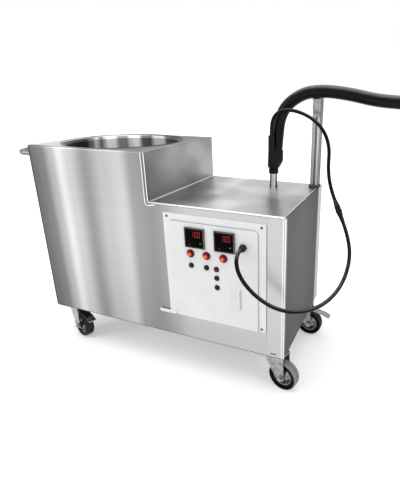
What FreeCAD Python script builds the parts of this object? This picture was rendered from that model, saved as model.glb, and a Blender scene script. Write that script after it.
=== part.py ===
import FreeCAD, Part
import Sketcher
import math
import os

# A wheeled paraffin wax dispenser: a heated round pot in the tall half of a folded stainless cart,
# a pump below it, a riser and a heated hose on the low half, and a control plate on the front.
# Lengths are millimetres. Casing places are counted from the front left corner at floor level,
# and every node is then moved by one shift, which puts the row's origin under the middle of the cart.

Vector = FreeCAD.Vector
os.makedirs("parts", exist_ok=True)
doc = FreeCAD.newDocument("wax_dispenser")

SIZES = {
    # casing
    "low_length": 465, "low_height": 470, "step_rise": 160, "pot_side_room": 14.5,
    "pot_left_room": 22, "pot_step_room": 47, "skin": 2, "fold": 9, "bend_radius": 4.5,
    "corner_step": 18, "side_flange": 56, "seam_gap": 0.3, "slot_near": 27, "slot_far": 43,
    "slot_lift": 12.5, "slot_radius": 2.5,
    # base frame and bottom pan
    "rail_size": 25, "rail_wall": 2.5, "pan_wall": 1.5,
    "corner_plate_length": 100, "corner_plate_depth": 118, "corner_plate_wall": 3,
    # pot
    "pot_radius": 208, "pot_wall": 1.5, "pot_lift": 211.5, "lip_reach": 10, "lip_drop": 13,
    "lip_neck": 3, "lip_proud": 1.5, "drain_radius": 11, "drain_length": 22, "heater_wall": 3,
    "heater_height": 140, "heater_lift": 45, "jacket_wall": 5.8, "jacket_lift": 36.5,
    "jacket_drop": 12, "pot_gap": 0.3,
    # pump line
    "pump_inset": 322, "pump_lift": 103, "pump_radius": 40, "pump_length": 64,
    "pump_port_radius": 17, "pump_port_length": 12, "pump_lobe_offset": 13, "pipe_radius": 13.5,
    "pipe_bore": 11, "pipe_bend": 38, "pipe_rise": 105, "shaft_radius": 8,
    "coupling_radius": 19, "coupling_length": 44, "motor_radius": 52, "motor_length": 150,
    "motor_fin_depth": 4, "motor_fin_count": 24, "motor_bell": 26, "mount_wall": 5,
    "mount_width": 92, "mount_foot": 44, "bolt_radius": 3,
    # riser and boot
    "riser_inset_x": 165, "riser_inset_y": 88, "riser_rise": 83, "collar_radius": 15.5,
    "collar_height": 6, "union_radius": 21, "union_height": 26, "boot_lift": 49,
    "boot_ring_radius": 17.5, "boot_ring_height": 22, "boot_radius": 23,
    "boot_neck_radius": 20.5, "boot_height": 64, "boot_round": 5, "branch_radius": 11.3,
    "branch_length": 93, "branch_lift": 46, "branch_side": 2.5, "branch_front": 20,
    "ferrule_radius": 6.6, "ferrule_height": 18, "socket_radius": 24, "socket_height": 38,
    "socket_side": 7, "socket_back": 13, "socket_drop": 2,
    # heated hose
    "hose_radius": 21, "coil_radius": 185, "coil_pitch": 90, "coil_quarters": 5,
    "nozzle_length": 210, "nozzle_grip_length": 120, "nozzle_grip_radius": 17,
    "nozzle_tube_radius": 7, "nozzle_bore": 4, "nozzle_collar_length": 30,
    # signal cable
    "cable_radius": 6, "gland_inset": 72.5, "gland_drop": 80.5, "gland_radius": 12.5,
    "gland_nut": 7, "gland_dome": 13, "gland_neck": 8, "gland_thread": 10, "gland_slack": 1.25,
    "connector_radius": 9.5, "connector_waist": 7.4, "connector_ring": 3,
    "connector_ring_step": 1.2,
    # pole and hose cradle
    "pole_size": 30, "pole_inset": 4, "pole_back_inset": 54.5, "pole_rise": 355,
    "pole_web": 2, "cradle_width": 25, "cradle_wall": 2.5, "cradle_leg": 62,
    "cradle_front_angle": 100, "cradle_back_angle": 36, "cradle_turn": 8,
    "cradle_rise": 332.9, "cradle_gap": 0.3, "cradle_play": 0.7, "bolt_head": 4.2,
    "bolt_head_radius": 5.4, "grommet_wall": 4, "grommet_height": 9,
    # push handle
    "handle_reach": 100, "handle_radius": 11, "handle_wall": 1.5, "handle_drop": 33,
    "handle_inset": 28, "handle_span": 204, "handle_bend": 34,
    # control plate
    "plate_inset": 56, "plate_gap": 3, "plate_lift": 84.5, "plate_drop": 24.5,
    "plate_wall": 2, "overlay_inset": 25, "overlay_drop": 22.5, "overlay_wall": 2,
    "overlay_round": 9, "cutout_margin": 24, "display_drop": 71.5, "display_width": 69,
    "display_height": 66, "display_case": 62, "display_depth": 78, "display_bezel": 5,
    "display_frame": 4.5, "display_recess": 1.6, "window_wall": 1.2,
    "lamp_drop": 126, "lamp_radius": 13.2, "lamp_lens_radius": 10.8, "lamp_bezel": 4,
    "lamp_dome": 7, "lamp_barrel_radius": 10.9, "lamp_barrel": 34, "lamp_seat": 2,
    "button_drop": 167, "fuse_drop": 197.5, "fuse_pitch": 33, "button_radius": 9.2,
    "button_cap_radius": 6.4, "button_bezel": 3.5, "button_proud": 3, "button_travel": 2.5,
    "button_floor": 2, "button_barrel_radius": 7.8, "button_barrel": 24, "button_gap": 0.25,
    "fuse_slot": 1.6, "fuse_slot_depth": 1.5, "cover_lift": 67.5, "cover_width": 34,
    "cover_height": 71, "cover_wall": 5, "cover_edge": 1.5,
    "latch_inset": 15.5, "latch_lift": 4.5, "latch_length": 62, "latch_width": 10,
    "latch_wall": 4, "latch_tail": 6.5, "latch_screw_radius": 3.6, "latch_pin_radius": 2,
    "latch_pin_gap": 0.05, "latch_gap": 0.3, "screw_radius": 3.6, "screw_head": 1.8,
    "screw_shank": 2, "screw_length": 8, "screw_inset_x": 14, "screw_inset_z": 11,
    # rear service cover
    "service_inset": 75, "service_end": 90, "service_lift": 83, "service_drop": 67,
    "service_wall": 1.5, "louvre_count": 5, "louvre_width": 90, "louvre_height": 5,
    "louvre_pitch": 16, "louvre_drop": 46, "inlet_inset": 40, "inlet_lift": 68,
    # casters
    "wheel_radius": 51, "caster_head": 45, "caster_inset_x": 45, "caster_inset_y": 55,
    "caster_corner_room": 62.35, "caster_plate_length": 85, "caster_plate_depth": 105,
    "caster_plate_wall": 4, "race_radius": 27, "race_height": 11, "race_gap": 0.4,
    "kingpin_radius": 6, "kingpin_gap": 0.06, "kingpin_head": 5, "kingpin_head_radius": 10,
    "plate_bolt_x": 30, "plate_bolt_y": 40, "plate_bolt_radius": 4, "plate_bolt_head": 5,
    "plate_bolt_head_radius": 6.5, "plate_bolt_proud": 4, "tyre_width": 36,
    "tyre_shoulder": 5, "tyre_depth": 18, "tyre_wall_dip": 2.5, "hub_radius": 10,
    "hub_proud": 1.5, "disc_wall": 3, "disc_dish": 9, "rim_width": 26, "trail": 33,
    "axle_radius": 5, "axle_gap": 0.06, "axle_head_radius": 8.5, "axle_head": 5.5,
    "cheek_wall": 3, "cheek_gap": 2.2, "fork_front": 24, "fork_overhang": 8, "fork_eye": 13,
    "crown_wall": 4, "pedal_rise": 10, "pedal_pivot": 25, "pedal_pin_radius": 3,
    "pedal_pin_gap": 0.06, "pedal_width": 30, "pedal_wall": 2.5, "pedal_overhang": 30,
    "pedal_lip": 22, "pedal_drop": 8, "pedal_lip_drop": 9,
}

ANGLES = {
    "swivel_front_left": -20, "swivel_front_right": -12, "swivel_back_right": -4,
    "swivel_back_left": 14,
}

CABLE_LOWER = [
    (818.5, -24.0, 512), (818.8, -39.6, 512), (820.5, -56.4, 502.4), (823.5, -65.5, 485),
    (831, -68, 458), (852, -66, 423), (892, -62, 385), (944, -48, 353), (1004, -12, 336),
    (1062, 48, 343), (1101, 112, 386), (1112, 165, 456), (1092.6, 199, 520), (1072, 216, 555.6),
]
CABLE_UPPER = [
    (1038, 244, 615), (1017.4, 261, 650.6), (1002, 279, 712), (1001, 295, 780), (974, 309, 836),
    (925, 319, 874), (866, 324, 894), (814, 327, 891), (782.5, 337, 860), (782.5, 337, 823),
]
HOSE_ROUTE = [
    (792, 370, 750), (796, 370, 812), (804, 370, 862), (829, 369, 902), (868, 367, 932),
    (908, 366, 950), (968, 366, 952), (1052, 366, 945.5), (1148, 366, 933), (1242.4, 366, 915),
    (1315.6, 366, 872.7), (1370, 366, 807.9), (1395, 366, 728.3), (1398, 366, 610),
    (1396, 366, 470), (1389, 366, 352), (1384, 366, 261), (1386.4, 366, 191),
    (1406.8, 366, 128.3), (1444.4, 366, 76.5), (1494.6, 366, 40.1), (1551.7, 366, 21.5),
    (1611.7, 366, 21.5),
]


# Sizes that remember the spreadsheet expression they were worked out from
class Size(float):
    def __new__(cls, value, text=None):
        size = super().__new__(cls, value)
        size.text = text if text is not None else repr(float(value))
        return size

    def joined(self, sign, other, value, swapped=False):
        texts = [self.text, Size(other).text if not isinstance(other, Size) else other.text]
        if swapped:
            texts.reverse()
        return Size(value, f"({texts[0]} {sign} {texts[1]})")

    def __add__(self, other):
        return self.joined("+", other, float(self) + float(other))

    def __radd__(self, other):
        return self.joined("+", other, float(other) + float(self), True)

    def __sub__(self, other):
        return self.joined("-", other, float(self) - float(other))

    def __rsub__(self, other):
        return self.joined("-", other, float(other) - float(self), True)

    def __mul__(self, other):
        return self.joined("*", other, float(self) * float(other))

    def __rmul__(self, other):
        return self.joined("*", other, float(other) * float(self), True)

    def __truediv__(self, other):
        return self.joined("/", other, float(self) / float(other))

    def __neg__(self):
        return Size(-float(self), f"(0 - {self.text})")


class Named:
    """The sheet's values as attributes, each tied to its cell."""


def fill_sheet(values):
    sheet = doc.addObject("Spreadsheet::Sheet", "sizes")
    named = Named()
    for row, (alias, value) in enumerate(values.items(), start=1):
        sheet.set(f"A{row}", alias)
        sheet.set(f"B{row}", str(value))
        sheet.setAlias(f"B{row}", alias)
        setattr(named, alias, Size(value, f"sizes.{alias}"))
    doc.recompute()
    return named


s = fill_sheet({**SIZES, **ANGLES})

# Sizes that follow from others: the casing is wrapped round the pot and stands on the casters
s.casing_depth = (s.pot_radius + s.pot_side_room) * 2
s.pot_centre_x = s.pot_radius + s.pot_left_room
s.tank_length = s.pot_centre_x + s.pot_radius + s.pot_step_room
s.casing_length = s.tank_length + s.low_length
s.corner_radius = s.pot_radius - s.corner_step
s.caster_height = s.wheel_radius * 2 + s.caster_head

# Places that several pieces share
base_z = s.caster_height
deck_z = base_z + s.low_height
tank_z = deck_z + s.step_rise
tank_height = s.low_height + s.step_rise
seam_x = s.casing_length - s.side_flange
seam_y = s.casing_depth - s.side_flange
pot_y = s.casing_depth / 2
pan_z = base_z + s.rail_size
pan_top = pan_z + s.pan_wall
overrun = s.skin * 10
top_seam_x = s.tank_length - s.fold

pot_top = tank_z + s.lip_proud
pot_floor = base_z + s.pot_lift
pot_outer = s.pot_radius + s.pot_wall
mouth_radius = s.pot_radius + s.lip_reach
mouth_outer = mouth_radius + s.pot_wall

pump_x = s.casing_length - s.pump_inset
pump_z = base_z + s.pump_lift
pump_top = pump_z + s.pump_lobe_offset + s.pump_radius
outlet_top = pump_top + s.pump_port_length
motor_x = pump_x + s.pump_length + s.coupling_length
riser_x = s.casing_length - s.riser_inset_x
riser_y = s.casing_depth - s.riser_inset_y
riser_foot = outlet_top + s.pipe_rise
riser_top = deck_z + s.riser_rise
boot_foot = deck_z + s.boot_lift

plate_left = s.tank_length + s.plate_inset
plate_right = seam_x - s.plate_gap
plate_foot = base_z + s.plate_lift
plate_top = deck_z - s.plate_drop
plate_front = -s.plate_wall
overlay_front = -s.plate_wall - s.overlay_wall
latch_x = plate_left + s.latch_inset
latch_z = plate_foot + s.latch_lift
gland_x = plate_right - s.gland_inset
gland_z = plate_top - s.gland_drop
gland_reach = s.gland_nut + s.gland_dome
inlet_x = s.tank_length + s.inlet_inset
inlet_z = base_z + s.inlet_lift
service_left = s.tank_length + s.service_inset
service_width = s.low_length - s.service_inset - s.service_end
service_foot = base_z + s.service_lift
service_height = s.low_height - s.service_lift - s.service_drop

pole_left = s.casing_length - s.pole_inset - s.pole_size
pole_y = s.casing_depth - s.pole_back_inset
cradle_x = pole_left + s.pole_size / 2
cradle_back = pole_y - s.seam_gap
cradle_y = cradle_back - s.cradle_wall - s.cradle_play - s.hose_radius
cradle_z = deck_z + s.cradle_rise

half_tyre = s.tyre_width / 2
cheek_inner = half_tyre + s.cheek_gap
cheek_outer = cheek_inner + s.cheek_wall
crown_top = base_z - s.caster_plate_wall - s.race_height - s.race_gap
crown_foot = crown_top - s.crown_wall
pedal_z = s.wheel_radius * 2 + s.pedal_rise
pedal_reach = s.trail + s.wheel_radius + s.pedal_overhang
round_corner_inset = s.corner_radius * (1 - math.sqrt(0.5)) + s.caster_corner_room
swing_back_right = math.radians(s.swivel_back_right)
right_reach = (
    pedal_reach * math.cos(swing_back_right)
    + s.pedal_width / 2 * abs(math.sin(swing_back_right))
    - s.caster_inset_x
)
front_reach = gland_reach - overlay_front
shift_x = -(s.casing_length + right_reach - s.handle_reach) / 2
shift_y = -(s.casing_depth + gland_reach - front_reach) / 2

nodes = {}


# Helpers that bind a property to its expression and build the common shapes
def bind(thing, **values):
    for name, size in values.items():
        setattr(thing, name, float(size))
        if isinstance(size, Size) and "sizes." in size.text:
            thing.setExpression(name, size.text)


def place(thing, at=(0, 0, 0), axis=(0, 0, 1), angle=0):
    turn = FreeCAD.Rotation(Vector(*axis), float(angle))
    thing.Placement = FreeCAD.Placement(Vector(*map(float, at)), turn)
    for letter, size in zip("xyz", at):
        if isinstance(size, Size) and "sizes." in size.text:
            thing.setExpression(f".Placement.Base.{letter}", size.text)
    return thing


def node(name, thing, at=(0, 0, 0), turn=0):
    """Gives a finished piece its name and moves it into the row's frame."""
    thing.Label = name
    place(thing, (at[0] + shift_x, at[1] + shift_y, Size(0) + at[2]), angle=turn)
    nodes[name] = thing
    return thing


def box(corner, size):
    thing = doc.addObject("Part::Box", "block")
    bind(thing, Length=size[0], Width=size[1], Height=size[2])
    return place(thing, corner)


AXES = {"x": ((0, 1, 0), 90), "y": ((1, 0, 0), -90), "z": ((0, 0, 1), 0)}


def cylinder(foot, radius, height, along="z"):
    thing = doc.addObject("Part::Cylinder", "round")
    bind(thing, Radius=radius, Height=height)
    return place(thing, foot, *AXES[along])


def cone(foot, radius_foot, radius_top, height, along="z"):
    thing = doc.addObject("Part::Cone", "taper")
    bind(thing, Radius1=radius_foot, Radius2=radius_top, Height=height)
    return place(thing, foot, *AXES[along])


def fuse(*things):
    thing = doc.addObject("Part::MultiFuse", "joined")
    thing.Shapes = list(things)
    thing.Refine = True
    return thing


def group(*things):
    thing = doc.addObject("Part::Compound", "group")
    thing.Links = list(things)
    return thing


def cut(base, *tools):
    thing = doc.addObject("Part::Cut", "cut")
    thing.Base = base
    thing.Tool = tools[0] if len(tools) == 1 else fuse(*tools)
    thing.Refine = True
    return thing


def coded(shape):
    thing = doc.addObject("Part::Feature", "shaped")
    thing.Shape = shape
    return thing


def new_body():
    return doc.addObject("PartDesign::Body", "body")


def sketch_on(body, role, *outlines, offset=0):
    """A sketch on one of the body's origin planes; each outline point is tied to the sheet."""
    plane = [part for part in body.Origin.OriginFeatures if part.Role == role][0]
    sketch = body.newObject("Sketcher::SketchObject", "outline")
    sketch.AttachmentSupport = [(plane, "")]
    sketch.MapMode = "FlatFace"
    sketch.AttachmentOffset = FreeCAD.Placement(Vector(0, 0, float(offset)), FreeCAD.Rotation())
    if isinstance(offset, Size) and "sizes." in offset.text:
        sketch.setExpression(".AttachmentOffset.Base.z", offset.text)
    for outline in outlines:
        first = sketch.GeometryCount
        corners = [Vector(float(a), float(b), 0) for a, b in outline]
        for here, there in zip(corners, corners[1:] + corners[:1]):
            sketch.addGeometry(Part.LineSegment(here, there))
        for step, (a, b) in enumerate(outline):
            line = first + step
            before = first + (step - 1) % len(outline)
            sketch.addConstraint(Sketcher.Constraint("Coincident", before, 2, line, 1))
            tie(sketch, "X", line, a)
            tie(sketch, "Y", line, b)
    return sketch


def tie(sketch, letter, line, size):
    """Holds the start of a line at a distance from the sketch's origin."""
    if float(size) == 0:
        axis = -2 if letter == "X" else -1
        sketch.addConstraint(Sketcher.Constraint("PointOnObject", line, 1, axis))
        return
    index = sketch.addConstraint(
        Sketcher.Constraint(f"Distance{letter}", -1, 1, line, 1, float(size))
    )
    if isinstance(size, Size) and "sizes." in size.text:
        sketch.setExpression(f"Constraints[{index}]", size.text)


def circles_on(body, role, centres, radius, offset=0):
    """A sketch of equal circles, for holes in a sheet."""
    sketch = sketch_on(body, role, offset=offset)
    for a, b in centres:
        circle = Part.Circle(Vector(float(a), float(b), 0), Vector(0, 0, 1), float(radius))
        index = sketch.addGeometry(circle)
        datum = sketch.addConstraint(Sketcher.Constraint("Radius", index, float(radius)))
        if isinstance(radius, Size):
            sketch.setExpression(f"Constraints[{datum}]", radius.text)
        for letter, size in (("X", a), ("Y", b)):
            held = sketch.addConstraint(
                Sketcher.Constraint(f"Distance{letter}", -1, 1, index, 3, float(size))
            )
            if isinstance(size, Size) and "sizes." in size.text:
                sketch.setExpression(f"Constraints[{held}]", size.text)
    return sketch


def pad(body, sketch, length, reverse=False):
    feature = body.newObject("PartDesign::Pad", "pad")
    feature.Profile = sketch
    bind(feature, Length=length)
    feature.Reversed = reverse
    sketch.Visibility = False
    doc.recompute()
    return feature


def pocket(body, sketch, length, reverse=False):
    before = body.Shape.Volume
    feature = body.newObject("PartDesign::Pocket", "pocket")
    feature.Profile = sketch
    bind(feature, Length=length)
    feature.Reversed = reverse
    doc.recompute()
    if not body.Shape.Volume < before:
        raise RuntimeError(f"a pocket of {body.Name} removes nothing")
    return feature


def revolve(body, sketch):
    feature = body.newObject("PartDesign::Revolution", "turned")
    feature.Profile = sketch
    feature.ReferenceAxis = (sketch, ["V_Axis"])
    feature.Angle = 360
    doc.recompute()
    return feature


def turned(outline):
    """A body turned about Z from an outline of radius and height pairs."""
    body = new_body()
    revolve(body, sketch_on(body, "XZ_Plane", outline))
    return body


def round_edges(body, chosen, radius):
    """Rounds the edges of the body's tip whose middle point passes the test."""
    base = body.Tip
    names = []
    for number, edge in enumerate(base.Shape.Edges, start=1):
        middle = edge.valueAt((edge.FirstParameter + edge.LastParameter) / 2)
        if chosen(edge, middle):
            names.append(f"Edge{number}")
    if not names:
        raise RuntimeError(f"no edge of {body.Name} is there to round")
    feature = body.newObject("PartDesign::Fillet", "bend")
    feature.Base = (base, names)
    bind(feature, Radius=radius)
    doc.recompute()
    return feature


def near(value, target, slack=0.01):
    return abs(value - float(target)) < slack


def upright(edge):
    ends = [vertex.Point for vertex in edge.Vertexes]
    return len(ends) == 2 and near(ends[0].x, ends[1].x) and near(ends[0].y, ends[1].y)


def rectangle(left, foot, right, top):
    return [(left, foot), (right, foot), (right, top), (left, top)]


def rounded_slab(left, front, right, back, foot, height, radius):
    """A body on a rectangular plan whose back left corner is round."""
    body = new_body()
    pad(body, sketch_on(body, "XY_Plane", rectangle(left, front, right, back), offset=foot), height)

    def back_left(edge, middle):
        return upright(edge) and near(middle.x, left) and near(middle.y, back)

    round_edges(body, back_left, radius)
    return body


# Paths of straight runs joined by tangent arcs, for pipes, the handle, the cable and the hose
def route_wire(points, radius=None, share=0.45):
    """The wire and its arc radii; without a radius each arc is as large as its runs allow."""
    points = [Vector(*map(float, point)) for point in points]
    edges, radii, start = [], [], points[0]
    for before, corner, after in zip(points, points[1:], points[2:]):
        back, ahead = (before - corner), (after - corner)
        turn = math.pi - back.getAngle(ahead)
        reach = share * min(back.Length, ahead.Length)
        bend = reach / math.tan(turn / 2)
        if radius is not None:
            bend = float(radius)
            reach = bend * math.tan(turn / 2)
        back.normalize()
        ahead.normalize()
        first, last = corner + back * reach, corner + ahead * reach
        inward = back + ahead
        inward.normalize()
        middle = corner + inward * (bend / math.cos(turn / 2) - bend)
        edges.append(Part.LineSegment(start, first).toShape())
        edges.append(Part.Arc(first, middle, last).toShape())
        radii.append(bend)
        start = last
    edges.append(Part.LineSegment(start, points[-1]).toShape())
    return Part.Wire(edges), radii


def swept(wire, radius):
    first = wire.Edges[0]
    start = first.valueAt(first.FirstParameter)
    ahead = first.tangentAt(first.FirstParameter)
    ring = Part.Wire([Part.Circle(start, ahead, float(radius)).toShape()])
    return wire.makePipeShell([ring], True, False)


def report_tube(name, shape, wire, radius, radii):
    ideal = math.pi * float(radius) ** 2 * wire.Length
    shown = ", ".join(f"{bend:.0f}" for bend in radii)
    print(f"{name}: length {wire.Length:.0f}, volume share {shape.Volume / ideal:.4f}, radii {shown}")


def cord_tube(name, points, radius):
    wire, radii = route_wire(points)
    shape = swept(wire, radius)
    report_tube(name, shape, wire, radius, radii)
    return coded(shape)


def pipe(points, radius, bore, bend):
    wire, _ = route_wire(points, bend)
    return coded(swept(wire, radius).cut(swept(wire, bore)))


# Casing: three folded sheets round the sides, and one for the step wall and the low deck
def build_front_sheet():
    body = new_body()
    outer = [
        (0, base_z), (seam_x - s.seam_gap, base_z), (seam_x - s.seam_gap, deck_z),
        (s.tank_length, deck_z), (s.tank_length, tank_z), (0, tank_z),
    ]
    pad(body, sketch_on(body, "XZ_Plane", outer), s.fold, reverse=True)
    inner = [
        (s.skin, base_z - overrun), (seam_x + overrun, base_z - overrun),
        (seam_x + overrun, deck_z - s.skin), (s.tank_length - s.skin, deck_z - s.skin),
        (s.tank_length - s.skin, tank_z - s.skin), (s.skin, tank_z - s.skin),
    ]
    pocket(body, sketch_on(body, "XZ_Plane", inner, offset=-s.skin), s.fold)
    hole = rectangle(
        plate_left + s.cutout_margin, plate_foot + s.cutout_margin,
        seam_x - s.cutout_margin, plate_top - s.cutout_margin,
    )
    pocket(body, sketch_on(body, "XZ_Plane", hole, offset=overrun), overrun * 2)
    fixing_holes(body)

    def outer_contour(edge, middle):
        on_side = near(middle.x, 0) or near(middle.z, tank_z)
        on_step = near(middle.x, s.tank_length) and middle.z > deck_z
        on_deck = near(middle.z, deck_z) and middle.x > s.tank_length
        return near(middle.y, 0) and (on_side or on_step or on_deck)

    round_edges(body, outer_contour, s.bend_radius)
    mouth = cylinder(
        (s.pot_centre_x, pot_y, tank_z - s.lip_drop), mouth_outer + s.seam_gap, s.lip_drop + overrun,
    )
    return cut(body, mouth)


def build_right_sheet():
    """The right wall with its front flange and the folded rim along the low deck."""
    body = new_body()
    plan = rectangle(seam_x, 0, s.casing_length, seam_y - s.seam_gap)
    pad(body, sketch_on(body, "XY_Plane", plan, offset=base_z), s.low_height)

    def outer_corner(edge, middle):
        corner = upright(edge) and near(middle.x, s.casing_length) and near(middle.y, 0)
        on_top = near(middle.z, deck_z) and (near(middle.x, s.casing_length) or near(middle.y, 0))
        return corner or on_top

    round_edges(body, outer_corner, s.bend_radius)
    back = seam_y + overrun
    hollow = rectangle(seam_x - overrun, s.skin, s.casing_length - s.skin, back)
    pocket(body, sketch_on(body, "XY_Plane", hollow, offset=deck_z - s.skin), s.low_height)
    rim = rectangle(seam_x - overrun, s.fold, s.casing_length - s.fold, back)
    pocket(body, sketch_on(body, "XY_Plane", rim, offset=deck_z), s.skin)
    ends = (s.casing_length - s.slot_far, s.casing_length - s.slot_near)
    slot_z = base_z + s.slot_lift
    depth = s.fold + overrun
    slot = fuse(
        box((ends[0], -overrun, slot_z - s.slot_radius), (ends[1] - ends[0], depth, s.slot_radius * 2)),
        *[cylinder((x, -overrun, slot_z), s.slot_radius, depth, "y") for x in ends],
    )
    return cut(body, slot)


def build_rear_wrap():
    """The left wall, the round corner, the back wall and the short flange on the right wall."""
    front = s.fold + s.seam_gap
    outer = rounded_slab(
        0, front, s.casing_length, s.casing_depth, base_z, tank_height, s.corner_radius,
    )

    def back_right(edge, middle):
        return upright(edge) and near(middle.x, s.casing_length) and near(middle.y, s.casing_depth)

    round_edges(outer, back_right, s.bend_radius)
    inner = rounded_slab(
        s.skin, front - overrun, s.casing_length - s.skin, s.casing_depth - s.skin,
        base_z - overrun, tank_height + overrun * 2, s.corner_radius - s.skin,
    )
    right_wall = box(
        (s.casing_length - overrun, 0, base_z - overrun),
        (overrun * 2, seam_y, tank_height + overrun * 2),
    )
    above = box(
        (s.tank_length, seam_y - overrun, deck_z),
        (s.low_length + overrun, s.side_flange + overrun * 2, tank_height),
    )
    margin = s.cutout_margin
    opening = box(
        (service_left + margin, s.casing_depth - overrun, service_foot + margin),
        (service_width - margin * 2, overrun * 2, service_height - margin * 2),
    )
    inlet = cylinder(
        (inlet_x, s.casing_depth - overrun, inlet_z), s.gland_neck + s.seam_gap, overrun * 2, "y",
    )
    return cut(outer, inner, right_wall, above, opening, inlet)


def build_deck_sheet():
    """The folded sheet that makes the step wall, with a narrow flange on top, and the low deck."""
    body = new_body()
    right = s.casing_length - s.skin - s.seam_gap
    profile = [
        (top_seam_x, tank_z), (top_seam_x, tank_z - s.skin),
        (s.tank_length - s.skin, tank_z - s.skin), (s.tank_length - s.skin, deck_z - s.skin),
        (right, deck_z - s.skin), (right, deck_z), (s.tank_length, deck_z), (s.tank_length, tank_z),
    ]
    front = s.fold + s.seam_gap
    depth = s.casing_depth - s.skin - s.seam_gap - front
    pad(body, sketch_on(body, "XZ_Plane", profile, offset=-front), depth, reverse=True)

    def bends(edge, middle):
        along = near(middle.x, s.tank_length) and near(middle.y, front + depth / 2)
        return along and (near(middle.z, tank_z) or near(middle.z, deck_z))

    round_edges(body, bends, s.bend_radius)
    riser_hole = circles_on(
        body, "XY_Plane", [(riser_x, riser_y)], s.pipe_radius + s.pot_gap, offset=deck_z + overrun,
    )
    pocket(body, riser_hole, overrun * 2)
    rim_x = s.casing_length - s.fold - s.seam_gap
    pole_front, pole_back = pole_y - s.seam_gap, pole_y + s.pole_size + s.seam_gap
    notch = [
        (rim_x, -overrun), (s.casing_length, -overrun), (s.casing_length, pole_back),
        (pole_left - s.seam_gap, pole_back), (pole_left - s.seam_gap, pole_front),
        (rim_x, pole_front),
    ]
    pocket(body, sketch_on(body, "XY_Plane", notch, offset=deck_z + overrun), overrun * 2)
    return body


def frame_outline(inset):
    """The base frame's plan with its back left corner cut off inside the round wrap."""
    near_side = s.skin + s.seam_gap + inset
    far_x = s.casing_length - s.skin - s.seam_gap - inset
    far_y = s.casing_depth - s.skin - s.seam_gap - inset
    chamfer = s.corner_radius - s.skin - inset * (2 - math.sqrt(2))
    return [
        (near_side, near_side), (far_x, near_side), (far_x, far_y),
        (near_side + chamfer, far_y), (near_side, far_y - chamfer),
    ]


def corner_plate(x, y):
    """The bolting plate over a caster: in a square corner of the ring, or round the caster's middle."""
    clear = s.skin + s.seam_gap + s.rail_wall
    left, front = clear, clear
    if x > s.casing_length / 2:
        left = s.casing_length - clear - s.corner_plate_length
    if y > pot_y:
        front = s.casing_depth - clear - s.corner_plate_depth
    if x < s.casing_length / 2 and y > pot_y:
        left, front = x - s.corner_plate_length / 2, y - s.corner_plate_depth / 2
    size = (s.corner_plate_length, s.corner_plate_depth, s.corner_plate_wall)
    return box((left, front, base_z), size)


def build_base_frame(casters):
    """A ring of channel that is open inwards, with a bolting plate welded in over each caster."""
    ring = new_body()
    pad(ring, sketch_on(ring, "XY_Plane", frame_outline(Size(0)), offset=base_z), s.rail_size)
    inside = sketch_on(ring, "XY_Plane", frame_outline(s.rail_size), offset=pan_z)
    pocket(ring, inside, s.rail_size)
    channel = new_body()
    hollow = sketch_on(
        channel, "XY_Plane", frame_outline(s.rail_wall), offset=base_z + s.rail_wall,
    )
    pad(channel, hollow, s.rail_size - s.rail_wall * 2)
    plates = [corner_plate(x, y) for x, y, _ in casters.values()]
    holes = []
    for x, y, _ in casters.values():
        for side_x in (-1, 1):
            for side_y in (-1, 1):
                holes.append(cylinder(
                    (x + side_x * s.plate_bolt_x, y + side_y * s.plate_bolt_y, base_z - overrun),
                    s.plate_bolt_radius + s.seam_gap, overrun * 2,
                ))
    return cut(fuse(cut(ring, channel), *plates), *holes)


def build_bottom_pan():
    body = new_body()
    inset = s.skin + s.seam_gap
    plan = rectangle(inset, inset, s.casing_length - inset, s.casing_depth - inset)
    pad(body, sketch_on(body, "XY_Plane", plan, offset=pan_z), s.pan_wall)

    def back_left(edge, middle):
        return upright(edge) and near(middle.x, inset) and near(middle.y, s.casing_depth - inset)

    round_edges(body, back_left, s.corner_radius - inset)
    return body


def build_service_cover():
    """The rear cover with its rows of louvre slots."""
    body = new_body()
    front = s.casing_depth
    plan = rectangle(
        service_left, service_foot, service_left + service_width, service_foot + service_height,
    )
    pad(body, sketch_on(body, "XZ_Plane", plan, offset=-front), s.service_wall, reverse=True)
    slots = []
    column_shares = (0.3, 0.7)
    for share in column_shares:
        centre = service_left + service_width * share
        left, right = centre - s.louvre_width / 2, centre + s.louvre_width / 2
        for row in range(int(s.louvre_count)):
            top = service_foot + service_height - s.louvre_drop - row * s.louvre_pitch
            slots.append(rectangle(left, top - s.louvre_height, right, top))
    pocket(body, sketch_on(body, "XZ_Plane", *slots, offset=overrun - front), overrun * 2)
    return body


# Pot with its heater and lagging
def build_pot():
    """The pot with its flared mouth and drain, welded into the sheet that covers the tall half."""
    wall = s.pot_wall
    lip_foot = tank_z - s.lip_drop
    lip_top = tank_z - s.lip_neck
    shell = turned([
        (s.drain_radius, pot_floor), (s.pot_radius, pot_floor), (s.pot_radius, lip_foot),
        (mouth_radius, lip_top), (mouth_radius, pot_top), (mouth_outer, pot_top),
        (mouth_outer, lip_top), (pot_outer, lip_foot), (pot_outer, pot_floor - wall),
        (s.drain_radius + wall, pot_floor - wall),
        (s.drain_radius + wall, pot_floor - s.drain_length),
        (s.drain_radius, pot_floor - s.drain_length),
    ])
    place(shell, (s.pot_centre_x, pot_y, Size(0)))
    inset = s.skin + s.seam_gap
    sheet = rounded_slab(
        inset, s.fold + s.seam_gap, top_seam_x - s.seam_gap, s.casing_depth - inset,
        tank_z - s.skin, s.skin, s.corner_radius - inset,
    )
    mouth = cylinder(
        (s.pot_centre_x, pot_y, tank_z - s.lip_drop), mouth_radius + wall / 2, s.lip_drop * 2,
    )
    return fuse(cut(sheet, mouth), shell)


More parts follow.
